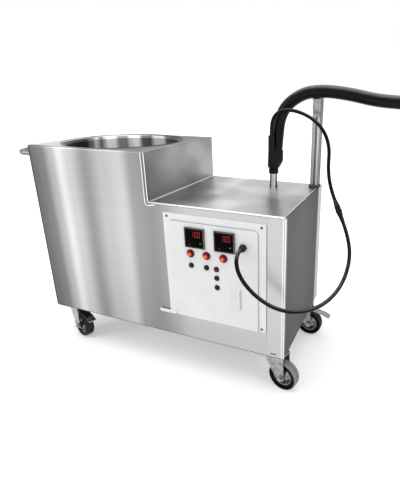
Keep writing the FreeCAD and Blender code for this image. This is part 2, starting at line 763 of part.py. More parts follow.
def build_heater_band():
    inner = pot_outer + s.pot_gap
    foot = pot_floor + s.heater_lift
    band = turned([
        (inner, foot), (inner + s.heater_wall, foot),
        (inner + s.heater_wall, foot + s.heater_height), (inner, foot + s.heater_height),
    ])
    slit = box(
        (inner - s.heater_wall, -s.heater_wall, foot - s.heater_wall),
        (s.heater_wall * 4, s.heater_wall * 2, s.heater_height + s.heater_wall * 2),
    )
    return cut(band, slit)


def build_jacket():
    inner = pot_outer + s.pot_gap * 2 + s.heater_wall
    foot = pot_floor + s.jacket_lift
    top = tank_z - s.skin - s.jacket_drop
    return turned([
        (inner, foot), (inner + s.jacket_wall, foot), (inner + s.jacket_wall, top), (inner, top),
    ])


# Pump line from the drain to the riser
def build_suction_pipe():
    start = pot_floor - s.drain_length
    return pipe(
        [(s.pot_centre_x, pot_y, start), (s.pot_centre_x, pot_y, pump_z),
         (pump_x - s.pump_port_length, pot_y, pump_z)],
        s.pipe_radius, s.pipe_bore, s.pipe_bend,
    )


def build_pump():
    """The gear pump: an oval housing with its two ports and the drive shaft."""
    start = pump_x - s.pump_port_length
    outlet_x = pump_x + s.pump_length / 2
    lobes = [
        cylinder((pump_x, pot_y, pump_z + side * s.pump_lobe_offset), s.pump_radius, s.pump_length, "x")
        for side in (-1, 1)
    ]
    inlet = cylinder((start, pot_y, pump_z), s.pump_port_radius, s.pump_port_length, "x")
    outlet = cylinder((outlet_x, pot_y, pump_z), s.pump_port_radius, outlet_top - pump_z)
    shaft_length = s.coupling_length / 2 - s.seam_gap
    shaft = cylinder((pump_x + s.pump_length, pot_y, pump_z), s.shaft_radius, shaft_length, "x")
    way_in = cylinder((start, pot_y, pump_z), s.pipe_bore, s.pump_port_length * 2, "x")
    way_out = cylinder(
        (outlet_x, pot_y, pump_top - s.pump_port_length), s.pipe_bore, s.pump_port_length * 3,
    )
    return cut(fuse(*lobes, inlet, outlet, shaft), way_in, way_out)


def build_motor():
    """The motor barrel with its row of cooling fins, its end bells and its coupling half."""
    pitch = 360 / s.motor_fin_count
    body = new_body()
    outline = []
    root = s.motor_radius - s.motor_fin_depth
    fin_shares = (0, 0.48, 0.5, 0.98)
    for step in range(int(s.motor_fin_count)):
        for share, radius in zip(fin_shares, (root, root, s.motor_radius, s.motor_radius)):
            angle = math.radians(pitch * (step + share))
            outline.append((radius * math.cos(angle), radius * math.sin(angle)))
    pad(body, sketch_on(body, "YZ_Plane", outline), s.motor_length - s.motor_bell * 2)
    place(body, (motor_x + s.motor_bell, pot_y, pump_z))
    nose_share = 0.7
    nose = s.motor_radius * nose_share
    front_bell = cone((motor_x, pot_y, pump_z), nose, s.motor_radius, s.motor_bell, "x")
    back_bell = cylinder(
        (motor_x + s.motor_length - s.motor_bell, pot_y, pump_z), s.motor_radius, s.motor_bell, "x",
    )
    half = s.coupling_length / 2
    shaft = cylinder((motor_x - half, pot_y, pump_z), s.shaft_radius, half, "x")
    return fuse(body, front_bell, back_bell, shaft)


def build_coupling():
    length = s.coupling_length - s.seam_gap * 2
    start = motor_x - s.coupling_length + s.seam_gap
    sleeve = cylinder((start, pot_y, pump_z), s.coupling_radius, length, "x")
    bore = cylinder(
        (start - overrun, pot_y, pump_z), s.shaft_radius + s.axle_gap, length + overrun * 2, "x",
    )
    return cut(sleeve, bore)


def build_pump_mount():
    """A bent channel on the bottom pan: one upright holds the pump, and two saddles the motor."""
    start = pump_x + s.pump_length / 4
    end = motor_x + s.motor_length - s.motor_bell / 2
    left = pot_y - s.mount_width / 2
    base = box((start, left, pan_top), (end - start, s.mount_width, s.mount_wall))
    pump_stand = box(
        (start, pot_y - s.mount_foot / 2, pan_top),
        (s.pump_length / 2, s.mount_foot, pump_z - s.pump_lobe_offset - pan_top),
    )
    saddle_height = pump_z - pan_top - s.mount_foot / 2
    saddles = [
        box((x, left, pan_top), (s.motor_bell / 2, s.mount_width, saddle_height))
        for x in (motor_x + s.motor_bell, end - s.motor_bell / 2)
    ]
    pump_space = cylinder(
        (pump_x - overrun, pot_y, pump_z - s.pump_lobe_offset), s.pump_radius + s.pot_gap,
        s.pump_length + overrun * 2, "x",
    )
    motor_space = cylinder(
        (motor_x - overrun, pot_y, pump_z), s.motor_radius + s.pot_gap,
        s.motor_length + overrun * 2, "x",
    )
    return cut(fuse(base, pump_stand, *saddles), pump_space, motor_space)


def build_pressure_pipe():
    outlet_x = pump_x + s.pump_length / 2
    turn_z = (outlet_top + riser_foot) / 2
    return pipe(
        [(outlet_x, pot_y, outlet_top), (outlet_x, pot_y, turn_z), (riser_x, riser_y, turn_z),
         (riser_x, riser_y, riser_foot)],
        s.pipe_radius, s.pipe_bore, s.pipe_bend - s.pipe_radius,
    )


def build_riser():
    """The riser tube with its union at the foot and its seat collar on the deck."""
    return turned([
        (s.pipe_bore, riser_foot), (s.union_radius, riser_foot),
        (s.union_radius, riser_foot + s.union_height), (s.pipe_radius, riser_foot + s.union_height),
        (s.pipe_radius, deck_z), (s.collar_radius, deck_z),
        (s.collar_radius, deck_z + s.collar_height), (s.pipe_radius, deck_z + s.collar_height),
        (s.pipe_radius, riser_top), (s.pipe_bore, riser_top),
    ])


# Boot, hose, coil and nozzle
def build_boot():
    """The moulded Y boot: a round body over the riser, a branch for the cable and a hose socket."""
    ring_top = boot_foot + s.boot_ring_height
    body_top = ring_top + s.boot_height
    shell = turned([
        (Size(0), boot_foot), (s.boot_ring_radius, boot_foot), (s.boot_ring_radius, ring_top),
        (s.boot_radius - s.boot_round / 2, ring_top), (s.boot_radius, ring_top + s.boot_round),
        (s.boot_neck_radius, body_top - s.boot_round), (s.boot_neck_radius - s.boot_round, body_top),
        (Size(0), body_top),
    ])
    place(shell, (riser_x, riser_y, Size(0)))
    branch_x, branch_y = riser_x - s.branch_side, riser_y - s.branch_front
    branch_foot = boot_foot + s.branch_lift
    branch_top = branch_foot + s.branch_length
    branch = cylinder((branch_x, branch_y, branch_foot), s.branch_radius, s.branch_length)
    ferrule = cylinder((branch_x, branch_y, branch_top), s.ferrule_radius, s.ferrule_height)
    web = cone(
        (branch_x, branch_y, branch_foot - s.branch_radius * 2), s.branch_radius / 2,
        s.branch_radius, s.branch_radius * 2,
    )
    socket_x, socket_y = riser_x + s.socket_side, riser_y + s.socket_back
    socket_foot = body_top - s.socket_height - s.socket_drop
    socket = cylinder((socket_x, socket_y, socket_foot), s.socket_radius, s.socket_height)
    taper = cone(
        (socket_x, socket_y, socket_foot - s.socket_radius), s.socket_radius / 2,
        s.socket_radius, s.socket_radius,
    )
    bore = cylinder(
        (riser_x, riser_y, boot_foot - overrun), s.pipe_radius + s.axle_gap,
        riser_top + s.seam_gap - boot_foot + overrun,
    )
    return cut(fuse(shell, branch, ferrule, socket, web, taper), bore)


def coil_wire():
    """Quarter turns joined end to end, each a quarter of the pitch wider than the one before."""
    start = Vector(*HOSE_ROUTE[-1])
    centre = start - Vector(0, s.coil_radius, 0)
    step = float(s.coil_pitch / 4)
    edges = []
    for quarter in range(int(s.coil_quarters)):
        radius = s.coil_radius + step * quarter
        spots = []
        for share in (0, 0.5, 1):
            angle = math.radians(90 * (1 - quarter - share))
            ray = Vector(math.cos(angle), math.sin(angle), 0)
            spots.append(centre + ray * float(radius))
        edges.append(Part.Arc(*spots).toShape())
        centre = centre - ray * step
    return Part.Wire(edges)


def least_gap(wire, radius, count=360):
    """The smallest way between the tube's turns, on points a half turn or more apart."""
    points = wire.discretize(Number=count)
    skip = 2 * count // int(s.coil_quarters)
    ways = [
        (one - other).Length for index, one in enumerate(points) for other in points[index + skip:]
    ]
    return min(ways) - 2 * float(radius)


def build_coil():
    wire = coil_wire()
    shape = swept(wire, s.hose_radius)
    gap = least_gap(wire, s.hose_radius)
    print(f"hose coil: length {wire.Length:.0f}, least gap {gap:.1f}")
    fall, _ = route_wire(HOSE_ROUTE[12:-2])
    way = fall.distToShape(wire)[0] - 2 * float(s.hose_radius)
    print(f"hose fall: gap to the coil {way:.1f}")
    return coded(shape), wire.Edges[-1]


def build_nozzle(last_edge):
    """The dispensing nozzle: an insulated grip with an end collar and a straight steel tip."""
    end = last_edge.valueAt(last_edge.LastParameter)
    ahead = last_edge.tangentAt(last_edge.LastParameter)
    grip_foot = s.nozzle_collar_length
    grip_top = grip_foot + s.nozzle_grip_length
    body = turned([
        (Size(0), Size(0)), (s.hose_radius, Size(0)), (s.hose_radius, grip_foot),
        (s.nozzle_grip_radius, grip_foot + s.boot_round),
        (s.nozzle_grip_radius, grip_top - s.boot_round),
        (s.nozzle_grip_radius - s.boot_round, grip_top), (s.nozzle_tube_radius, grip_top),
        (s.nozzle_tube_radius, s.nozzle_length), (s.nozzle_bore, s.nozzle_length),
        (s.nozzle_bore, grip_top), (Size(0), grip_top),
    ])
    turn = FreeCAD.Rotation(Vector(0, 0, 1), ahead)
    body.Placement = FreeCAD.Placement(end, turn)
    return body


# Signal cable pieces
def build_gland():
    """A cable gland along Z: hexagon nut, domed cap that holds the cable, and the thread behind."""
    hexagon = []
    for corner in range(6):
        angle = math.radians(60 * corner)
        hexagon.append((s.gland_radius * math.cos(angle), s.gland_radius * math.sin(angle)))
    body = new_body()
    pad(body, sketch_on(body, "XY_Plane", hexagon), s.gland_nut)
    cap_share, brow_share, brow_height_share = 0.84, 0.8, 0.55
    profile = [
        (Size(0), s.gland_nut), (s.gland_radius * cap_share, s.gland_nut),
        (s.gland_radius * brow_share, s.gland_nut + s.gland_dome * brow_height_share),
        (s.cable_radius + s.gland_slack, gland_reach), (Size(0), gland_reach),
    ]
    revolve(body, sketch_on(body, "XZ_Plane", profile))
    thread = [
        (Size(0), -s.gland_thread), (s.gland_neck, -s.gland_thread), (s.gland_neck, Size(0)),
        (Size(0), Size(0)),
    ]
    revolve(body, sketch_on(body, "XZ_Plane", thread))
    return body


def build_glands():
    front = place(build_gland(), (gland_x, overlay_front, gland_z), (1, 0, 0), 90)
    rear = place(build_gland(), (inlet_x, s.casing_depth, inlet_z), (1, 0, 0), -90)
    return group(front, rear)


def build_connector():
    """The inline plug and socket: two tapered sleeves either side of a raised ring."""
    start = Vector(*CABLE_LOWER[-1])
    end = Vector(*CABLE_UPPER[0])
    span = (end - start).Length
    tip = (s.cable_radius + s.connector_waist) / 2
    waist_share, shoulder_share, far_share = 0.22, 0.4, 0.72
    ring_foot, ring_top = span / 2 - s.connector_ring, span / 2 + s.connector_ring
    ring_radius = s.connector_radius + s.connector_ring_step
    body = turned([
        (Size(0), Size(0)), (tip, Size(0)), (s.connector_waist, span * waist_share),
        (s.connector_radius, span * shoulder_share), (s.connector_radius, ring_foot),
        (ring_radius, ring_foot), (ring_radius, ring_top), (s.connector_radius, ring_top),
        (s.connector_radius, span * far_share), (tip, span), (Size(0), span),
    ])
    body.Placement = FreeCAD.Placement(start, FreeCAD.Rotation(Vector(0, 0, 1), end - start))
    return body


# Pole of slotted section and the cradle that the hose lies in
def build_pole():
    """The extruded pole: a square with a narrow-mouthed slot down each side."""
    slot_share, cell_share, depth_share = 0.267, 0.533, 0.3
    body = new_body()
    half = s.pole_size / 2
    mouth = half * slot_share
    cell = half * cell_share
    lip = half - s.pole_web
    floor = half - s.pole_size * depth_share
    quadrant = [
        (half, -mouth), (lip, -mouth), (lip, -cell), (floor, -mouth),
        (floor, mouth), (lip, cell), (lip, mouth), (half, mouth), (half, half),
    ]
    outline = []
    for quarter in range(4):
        for a, b in quadrant:
            outline.append({0: (a, b), 1: (-b, a), 2: (-a, -b), 3: (b, -a)}[quarter])
    height = deck_z + s.pole_rise - pan_top
    pad(body, sketch_on(body, "XY_Plane", outline, offset=pan_top), height)
    return place(body, (pole_left + half, pole_y + half, Size(0)))


def build_pole_grommet():
    """The moulded square collar that closes the deck's notch round the pole."""
    width = s.pole_size + s.grommet_wall * 2
    left = pole_left - s.grommet_wall
    right = s.casing_length - s.bend_radius / 2
    collar = box(
        (left, pole_y - s.grommet_wall, deck_z), (right - left, width, s.grommet_height),
    )
    hole = box(
        (pole_left - s.pot_gap / 2, pole_y - s.pot_gap / 2, deck_z - overrun),
        (s.pole_size + s.pot_gap, s.pole_size + s.pot_gap, s.grommet_height + overrun * 2),
    )
    return cut(collar, hole)


bolt_shares = (0.45, 0.85)


def bolt_heights():
    return [cradle_z - s.hose_radius - s.cradle_leg * share for share in bolt_shares]


def build_cradle():
    """A bent strip: a flat leg down the pole and a gutter that the hose rests in."""
    inner = s.hose_radius + s.cradle_gap
    outer = inner + s.cradle_wall
    centre = Vector(0, cradle_y, cradle_z)

    def at(radius, angle):
        turn = math.radians(angle)
        return centre + Vector(0, radius * math.cos(turn), radius * math.sin(turn))

    front = -float(s.cradle_front_angle)
    back = -float(s.cradle_back_angle)
    back_outside = back - float(s.cradle_turn)
    leg_front = cradle_back - s.cradle_wall
    foot = cradle_z - s.cradle_leg - s.hose_radius
    inner_back, outer_back = at(inner, back), at(outer, back_outside)
    heel = outer_back.z - s.cradle_wall * 2
    corners = [
        inner_back, Vector(0, cradle_back, inner_back.z), Vector(0, cradle_back, foot),
        Vector(0, leg_front, foot), Vector(0, leg_front, heel), outer_back,
    ]
    edges = [Part.Arc(at(inner, front), at(inner, (front + back) / 2), inner_back).toShape()]
    edges += [Part.LineSegment(a, b).toShape() for a, b in zip(corners, corners[1:])]
    edges += [
        Part.Arc(outer_back, at(outer, (front + back_outside) / 2), at(outer, front)).toShape(),
        Part.LineSegment(at(outer, front), at(inner, front)).toShape(),
    ]
    strip = Part.Face(Part.Wire(edges)).extrude(Vector(s.cradle_width, 0, 0))
    for z in bolt_heights():
        start = Vector(s.cradle_width / 2, float(leg_front) - overrun / 2, z)
        hole = Part.makeCylinder(
            float(s.bolt_radius + s.seam_gap), float(overrun), start, Vector(0, 1, 0),
        )
        strip = strip.cut(hole)
    return coded(strip)


def build_cradle_bolts():
    front = cradle_back - s.cradle_wall
    depth_share = 0.3
    reach = s.cradle_wall + s.pole_size * depth_share
    bolts = []
    for z in bolt_heights():
        head = cylinder((cradle_x, front - s.bolt_head, z), s.bolt_head_radius, s.bolt_head, "y")
        bolts.append(fuse(head, cylinder((cradle_x, front, z), s.bolt_radius, reach, "y")))
    return group(*bolts)


def build_handle():
    """The bent tube of the push handle, with both legs square to the left wall."""
    reach = -(s.handle_reach - s.handle_radius)
    z = tank_z - s.handle_drop
    back_y = s.handle_inset + s.handle_span
    return pipe(
        [(Size(0), s.handle_inset, z), (reach, s.handle_inset, z), (reach, back_y, z),
         (Size(0), back_y, z)],
        s.handle_radius, s.handle_radius - s.handle_wall, s.handle_bend,
    )


# Control plate, overlay and everything on them; places along the plate are shares of its width
display_shares = (0.323, 0.617)
lamp_shares = (0.2715, 0.4345, 0.6015)
button_shares = (0.2715, 0.4285, 0.5285)
cover_share = 0.66


def along(share):
    return plate_left + (plate_right - plate_left) * share


displays = [along(share) for share in display_shares]
display_z = plate_top - s.display_drop
lamps = [along(share) for share in lamp_shares]
lamp_z = plate_top - s.lamp_drop
button_z = plate_top - s.button_drop
fuse_z = plate_top - s.fuse_drop
buttons = {
    "button_black": (along(button_shares[0]), button_z),
    "button_green": (along(button_shares[1]), button_z),
    "button_red": (along(button_shares[2]), button_z),
}
fuses = {
    "fuse_cap_upper": (along(button_shares[2]), fuse_z),
    "fuse_cap_lower": (along(button_shares[2]), fuse_z - s.fuse_pitch),
}


def screw_places():
    left, right = plate_left + s.screw_inset_x, plate_right - s.screw_inset_x
    foot, top = plate_foot + s.screw_inset_z, plate_top - s.screw_inset_z
    return [(right, top), (left, top), (right, foot)]


def fixing_holes(body):
    """The ways for the plate's screws and for the latch's pin."""
    ways = [
        (screw_places(), s.screw_shank + s.seam_gap),
        ([(latch_x, latch_z)], s.latch_pin_radius + s.latch_pin_gap),
    ]
    for centres, radius in ways:
        pocket(body, circles_on(body, "XZ_Plane", centres, radius, offset=overrun), overrun * 2)


def panel_openings(body):
    """Cuts the ways for the displays, lamps, buttons and gland through a panel sheet."""
    half = s.display_case / 2 + s.seam_gap
    holes = [rectangle(x - half, display_z - half, x + half, display_z + half) for x in displays]
    pocket(body, sketch_on(body, "XZ_Plane", *holes, offset=overrun), overrun * 2)
    rounds = [
        ([(x, lamp_z) for x in lamps], s.lamp_barrel_radius + s.seam_gap),
        ([*buttons.values(), *fuses.values()], s.button_barrel_radius + s.seam_gap),
        ([(gland_x, gland_z)], s.gland_neck + s.seam_gap),
    ]
    for centres, radius in rounds:
        pocket(body, circles_on(body, "XZ_Plane", centres, radius, offset=overrun), overrun * 2)


def build_panel_plate():
    body = new_body()
    outline = rectangle(plate_left, plate_foot, plate_right, plate_top)
    pad(body, sketch_on(body, "XZ_Plane", outline), s.plate_wall)
    panel_openings(body)
    fixing_holes(body)
    return body


def build_panel_overlay():
    body = new_body()
    top = plate_top - s.overlay_drop
    outline = rectangle(plate_left + s.overlay_inset, plate_foot, plate_right - s.overlay_inset, top)
    pad(body, sketch_on(body, "XZ_Plane", outline, offset=s.plate_wall), s.overlay_wall)

    def top_corners(edge, middle):
        ends = [vertex.Point for vertex in edge.Vertexes]
        through = len(ends) == 2 and near(ends[0].x, ends[1].x) and near(ends[0].z, ends[1].z)
        return through and near(middle.z, top)

    round_edges(body, top_corners, s.overlay_round)
    panel_openings(body)
    return body


def build_controllers():
    """Two panel instruments: a square bezel with a sunk face and the case behind the sheet."""
    pieces = []
    for x in displays:
        body = new_body()
        wide, high = s.display_width / 2, s.display_height / 2
        face = rectangle(x - wide, display_z - high, x + wide, display_z + high)
        pad(body, sketch_on(body, "XZ_Plane", face, offset=-overlay_front), s.display_bezel)
        wide, high = wide - s.display_frame, high - s.display_frame
        inner = rectangle(x - wide, display_z - high, x + wide, display_z + high)
        front = s.display_bezel - overlay_front
        pocket(body, sketch_on(body, "XZ_Plane", inner, offset=front), s.display_recess + s.window_wall)
        half = s.display_case / 2
        case = rectangle(x - half, display_z - half, x + half, display_z + half)
        behind = sketch_on(body, "XZ_Plane", case, offset=-overlay_front)
        pad(body, behind, s.display_depth, reverse=True)
        pieces.append(body)
    return group(*pieces)


def build_windows():
    margin = s.display_frame + s.seam_gap
    front = overlay_front - s.display_bezel + s.display_recess
    wide, high = s.display_width - margin * 2, s.display_height - margin * 2
    pieces = [
        box((x - wide / 2, front, display_z - high / 2), (wide, s.window_wall, high)) for x in displays
    ]
    return group(*pieces)


def facing_front(outline, x, z):
    """A turned piece whose axis runs along Y, with its heights counted out of the overlay."""
    body = turned(outline)
    return place(body, (x, overlay_front, z), (1, 0, 0), 90)


def build_lamp_bezels():
    outline = [
        (s.lamp_lens_radius - s.lamp_seat, -s.lamp_barrel), (s.lamp_barrel_radius, -s.lamp_barrel),
        (s.lamp_barrel_radius, Size(0)), (s.lamp_radius, Size(0)),
        (s.lamp_radius, s.lamp_bezel - s.lamp_seat / 2),
        (s.lamp_radius - s.lamp_seat / 2, s.lamp_bezel),
        (s.lamp_lens_radius + s.seam_gap, s.lamp_bezel),
        (s.lamp_lens_radius + s.seam_gap, s.lamp_seat),
        (s.lamp_lens_radius - s.lamp_seat, s.lamp_seat),
    ]
    return group(*[facing_front(outline, x, lamp_z) for x in lamps])


def build_lamp_lenses():
    radius, foot = s.lamp_lens_radius, s.lamp_bezel
    outline = [(Size(0), s.lamp_seat), (radius, s.lamp_seat), (radius, foot)]
    steps = 4
    for step in range(1, steps):
        angle = math.pi / 2 * step / steps
        outline.append((radius * math.cos(angle), foot + s.lamp_dome * math.sin(angle)))
    outline.append((Size(0), foot + s.lamp_dome))
    return group(*[facing_front(outline, x, lamp_z) for x in lamps])


def build_button_bezels():
    bore = s.button_cap_radius + s.button_gap
    outline = [
        (Size(0), -s.button_barrel), (s.button_barrel_radius, -s.button_barrel),
        (s.button_barrel_radius, Size(0)), (s.button_radius, Size(0)),
        (s.button_radius, s.button_bezel / 2), (bore + s.button_gap * 2, s.button_bezel),
        (bore, s.button_bezel), (bore, -s.button_travel - s.button_floor),
        (Size(0), -s.button_travel - s.button_floor),
    ]
    places = [*buttons.values(), *fuses.values()]
    return group(*[facing_front(outline, x, z) for x, z in places])


def build_button_cap():
    """A push cap: it stands off its bezel's floor by its travel and a little more."""
    round_share = 0.8
    top = s.button_bezel + s.button_proud
    foot = s.button_gap - s.button_floor
    edge = top - s.button_proud / 4
    outline = [
        (Size(0), foot), (s.button_cap_radius, foot), (s.button_cap_radius, edge),
        (s.button_cap_radius * round_share, top), (Size(0), edge),
    ]
    return turned(outline)


def build_fuse_cap():
    """A bayonet fuse cap with a screwdriver slot across its face."""
    top = s.button_bezel + s.button_gap
    foot = s.button_gap - s.button_floor
    cap = turned([
        (Size(0), foot), (s.button_cap_radius, foot), (s.button_cap_radius, top),
        (s.button_cap_radius - s.fuse_slot / 2, top + s.fuse_slot / 2),
        (Size(0), top + s.fuse_slot / 2),
    ])
    slot = box(
        (-s.button_radius, -s.fuse_slot / 2, top - s.fuse_slot_depth),
        (s.button_radius * 2, s.fuse_slot, s.fuse_slot_depth * 2),
    )
    return cut(cap, slot)


def build_cover_plate():
    body = new_body()
    left, foot = along(cover_share), plate_foot + s.cover_lift
    outline = rectangle(left, foot, left + s.cover_width, foot + s.cover_height)
    pad(body, sketch_on(body, "XZ_Plane", outline, offset=-overlay_front), s.cover_wall)
    front = s.cover_wall - overlay_front

    def front_edges(edge, middle):
        return near(middle.y, -front)

    round_edges(body, front_edges, s.cover_edge)
    return body


def build_latch():
    """The turn button on the plate's lower corner, with its screw head and pivot pin."""
    lift = s.plate_wall + s.latch_gap
    bar = box(
        (s.latch_tail - s.latch_length, -lift - s.latch_wall, -s.latch_width / 2),
        (s.latch_length, s.latch_wall, s.latch_width),
    )
    face = -lift - s.latch_wall
    head = cylinder((Size(0), face - s.screw_head, Size(0)), s.latch_screw_radius, s.screw_head, "y")
    pin = cylinder((Size(0), -lift, Size(0)), s.latch_pin_radius, lift + s.screw_length, "y")
    return fuse(bar, head, pin)


def build_panel_screws():
    screws = []
    for x, z in screw_places():
        head = cylinder((x, plate_front - s.screw_head, z), s.screw_radius, s.screw_head, "y")
        shank = cylinder((x, plate_front, z), s.screw_shank, s.plate_wall + s.screw_length, "y")
        screws.append(fuse(head, shank))
    back = s.casing_depth + s.service_wall
    for side_x in (s.screw_inset_z, service_width - s.screw_inset_z):
        for side_z in (s.screw_inset_z, service_height - s.screw_inset_z):
            spot = (service_left + side_x, back, service_foot + side_z)
            screws.append(cylinder(spot, s.screw_radius, s.screw_head, "y"))
    return group(*screws)


# Casters
def build_caster_plates(casters):
    """The four top plates with their ball races, kingpins and fixing bolts."""
    plates = []
    race_share = 0.88
    plate_z = base_z - s.caster_plate_wall
    race_foot = plate_z - s.race_height
    pin_foot = race_foot - s.crown_wall - s.race_gap * 2
    for x, y, _ in casters.values():
        plate = box(
            (x - s.caster_plate_length / 2, y - s.caster_plate_depth / 2, plate_z),
            (s.caster_plate_length, s.caster_plate_depth, s.caster_plate_wall),
        )
        race = cone((x, y, race_foot), s.race_radius * race_share, s.race_radius, s.race_height)
        pin = cylinder((x, y, pin_foot), s.kingpin_radius, race_foot - pin_foot + s.crown_wall)
        head = cylinder((x, y, pin_foot - s.kingpin_head), s.kingpin_head_radius, s.kingpin_head)
        bolts = []
        for side_x in (-1, 1):
            for side_y in (-1, 1):
                foot = plate_z - s.plate_bolt_head
                spot = (x + side_x * s.plate_bolt_x, y + side_y * s.plate_bolt_y, foot)
                top = base_z + s.corner_plate_wall + s.plate_bolt_proud
                bolts.append(cylinder(spot, s.plate_bolt_head_radius, s.plate_bolt_head))
                bolts.append(cylinder(spot, s.plate_bolt_radius, top - foot))
        plates.append(fuse(plate, race, pin, head, *bolts))
    return group(*plates)


def cheek_shape():
    """One side plate of a fork: wide at the crown and round about the axle."""
    eye_angles = (215, 300, 360)
    belly_share, sag_share = 0.35, 0.2
    axle = Vector(s.trail, 0, s.wheel_radius)
    eye = float(s.fork_eye)
    fork_back = s.trail + s.fork_overhang
    waist = Vector(-s.fork_front, 0, float(crown_top - s.crown_wall * 5))
    shoulder = Vector(fork_back, 0, float(crown_top - s.crown_wall * 6))
    top_back, top_front = Vector(fork_back, 0, crown_top), Vector(-s.fork_front, 0, crown_top)
    spots = []
    for angle in eye_angles:
        turn = math.radians(angle)
        spots.append(axle + Vector(eye * math.cos(turn), 0, eye * math.sin(turn)))
    belly = (waist + spots[0]) * 0.5 + Vector(-eye * belly_share, 0, -eye * sag_share)
    edges = [
        Part.LineSegment(top_back, top_front).toShape(),
        Part.LineSegment(top_front, waist).toShape(),
        Part.Arc(waist, belly, spots[0]).toShape(),
        Part.Arc(*spots).toShape(),
        Part.LineSegment(spots[2], shoulder).toShape(),
        Part.LineSegment(shoulder, top_back).toShape(),
    ]
    return Part.Face(Part.Wire(edges)).extrude(Vector(0, s.cheek_wall, 0))


def rod(radius, length, start):
    """A round bar along Y that starts at the given point."""
    return Part.makeCylinder(float(radius), float(length), Vector(*map(float, start)), Vector(0, 1, 0))


def build_fork(braked):
    """The pressed fork: a crown under the race, two cheeks, and the axle bolt between them."""
    left = cheek_shape()
    left.translate(Vector(0, cheek_inner, 0))
    right = cheek_shape()
    right.translate(Vector(0, -cheek_outer, 0))
    crown = Part.makeBox(
        float(s.fork_front + s.trail + s.fork_overhang), float(cheek_outer * 2),
        float(s.crown_wall), Vector(-s.fork_front, -cheek_outer, crown_foot),
    )
    hole = Part.makeCylinder(
        float(s.kingpin_radius + s.kingpin_gap), float(overrun),
        Vector(0, 0, crown_foot - overrun / 2),
    )
    axle = rod(s.axle_radius, cheek_outer * 2, (s.trail, -cheek_outer, s.wheel_radius))
    heads = [
        rod(s.axle_head_radius, s.axle_head, (s.trail, y, s.wheel_radius))
        for y in (-cheek_outer - s.axle_head, cheek_outer)
    ]
    shape = crown.fuse([left, right, axle, *heads]).removeSplitter().cut(hole)
    if braked:
        way = rod(
            s.pedal_pin_radius + s.pedal_pin_gap, cheek_outer * 4,
            (s.pedal_pivot, -cheek_outer * 2, pedal_z),
        )
        shape = shape.cut(way)
    return coded(shape)


def build_tyre():
    """The solid rubber tyre with round shoulders, dished walls and the bead on the rim."""
    bead = s.wheel_radius - s.tyre_depth
    tread = s.wheel_radius
    shoulder = s.tyre_shoulder
    drop_share, side_share, tread_share = 0.3, 0.5, 1.6
    half_rim = s.rim_width / 2
    outline = []
    for side in (-1, 1):
        edge = [
            (bead, side * half_rim), (bead + shoulder, side * (half_tyre - s.tyre_wall_dip)),
            (tread - shoulder, side * half_tyre),
            (tread - shoulder * drop_share, side * (half_tyre - shoulder * side_share)),
            (tread, side * (half_tyre - shoulder * tread_share)),
        ]
        outline += edge if side < 0 else edge[::-1]
    return turned(outline)


def build_hub():
    """The pressed steel wheel: hub tube, dished disc and the rim band under the tyre."""
    bore = s.axle_radius + s.axle_gap
    half_hub = half_tyre + s.hub_proud
    bead = s.wheel_radius - s.tyre_depth
    band = bead - s.disc_wall
    half_rim = s.rim_width / 2
    dish = s.disc_dish + s.disc_wall / 2
    return turned([
        (bore, -half_hub), (s.hub_radius, -half_hub), (s.hub_radius, -dish),
        (band, -s.disc_wall), (band, -half_rim), (bead, -half_rim), (bead, half_rim),
        (band, half_rim), (band, s.disc_wall), (s.hub_radius, dish), (s.hub_radius, half_hub),
        (bore, half_hub),
    ])


def build_pedal():
    """The brake pedal: a bent plate over the wheel on its own pin through both cheeks."""
    pivot = s.pedal_pivot
    half = s.pedal_width / 2
    top_line = [
        Vector(pivot, 0, pedal_z + s.pedal_pin_radius),
        Vector(pedal_reach - s.pedal_lip, 0, pedal_z - s.pedal_drop),
        Vector(pedal_reach, 0, pedal_z - s.pedal_drop - s.pedal_lip_drop),
    ]
    foot_line = [point - Vector(0, 0, s.pedal_wall) for point in reversed(top_line)]
    corners = top_line + foot_line
    face = Part.Face(Part.makePolygon(corners + corners[:1]))
    face.translate(Vector(0, -half, 0))
    plate = face.extrude(Vector(0, s.pedal_width, 0))
    boss = rod(s.pedal_pin_radius + s.pedal_wall, s.pedal_width, (pivot, -half, pedal_z))
    pin = rod(s.pedal_pin_radius, cheek_outer * 2, (pivot, -cheek_outer, pedal_z))
    return coded(plate.fuse([boss, pin]).removeSplitter())


def place_free(name, thing, at, turn):
    """Names a piece that is turned as well as moved, and moves it into the row's frame."""
    thing.Label = name
    thing.Placement = FreeCAD.Placement(at + Vector(shift_x, shift_y, 0), turn)
    nodes[name] = thing


def place_wheel_piece(name, thing, x, y, angle):
    """Turns a wheel piece on its side and moves it to its axle."""
    swing = math.radians(angle)
    swivel = FreeCAD.Rotation(Vector(0, 0, 1), float(angle))
    turn = swivel.multiply(FreeCAD.Rotation(Vector(1, 0, 0), 90))
    at = Vector(x + s.trail * math.cos(swing), y + s.trail * math.sin(swing), s.wheel_radius)
    place_free(name, thing, at, turn)


def build_casters(casters, braked):
    node("caster_plates", build_caster_plates(casters))
    for name, (x, y, angle) in casters.items():
        node(f"fork_{name}", build_fork(name in braked), (x, y, 0), angle)
        place_wheel_piece(f"tyre_{name}", build_tyre(), x, y, angle)
        place_wheel_piece(f"wheel_hub_{name}", build_hub(), x, y, angle)
        if name in braked:
            node(f"brake_pedal_{name}", build_pedal(), (x, y, 0), angle)


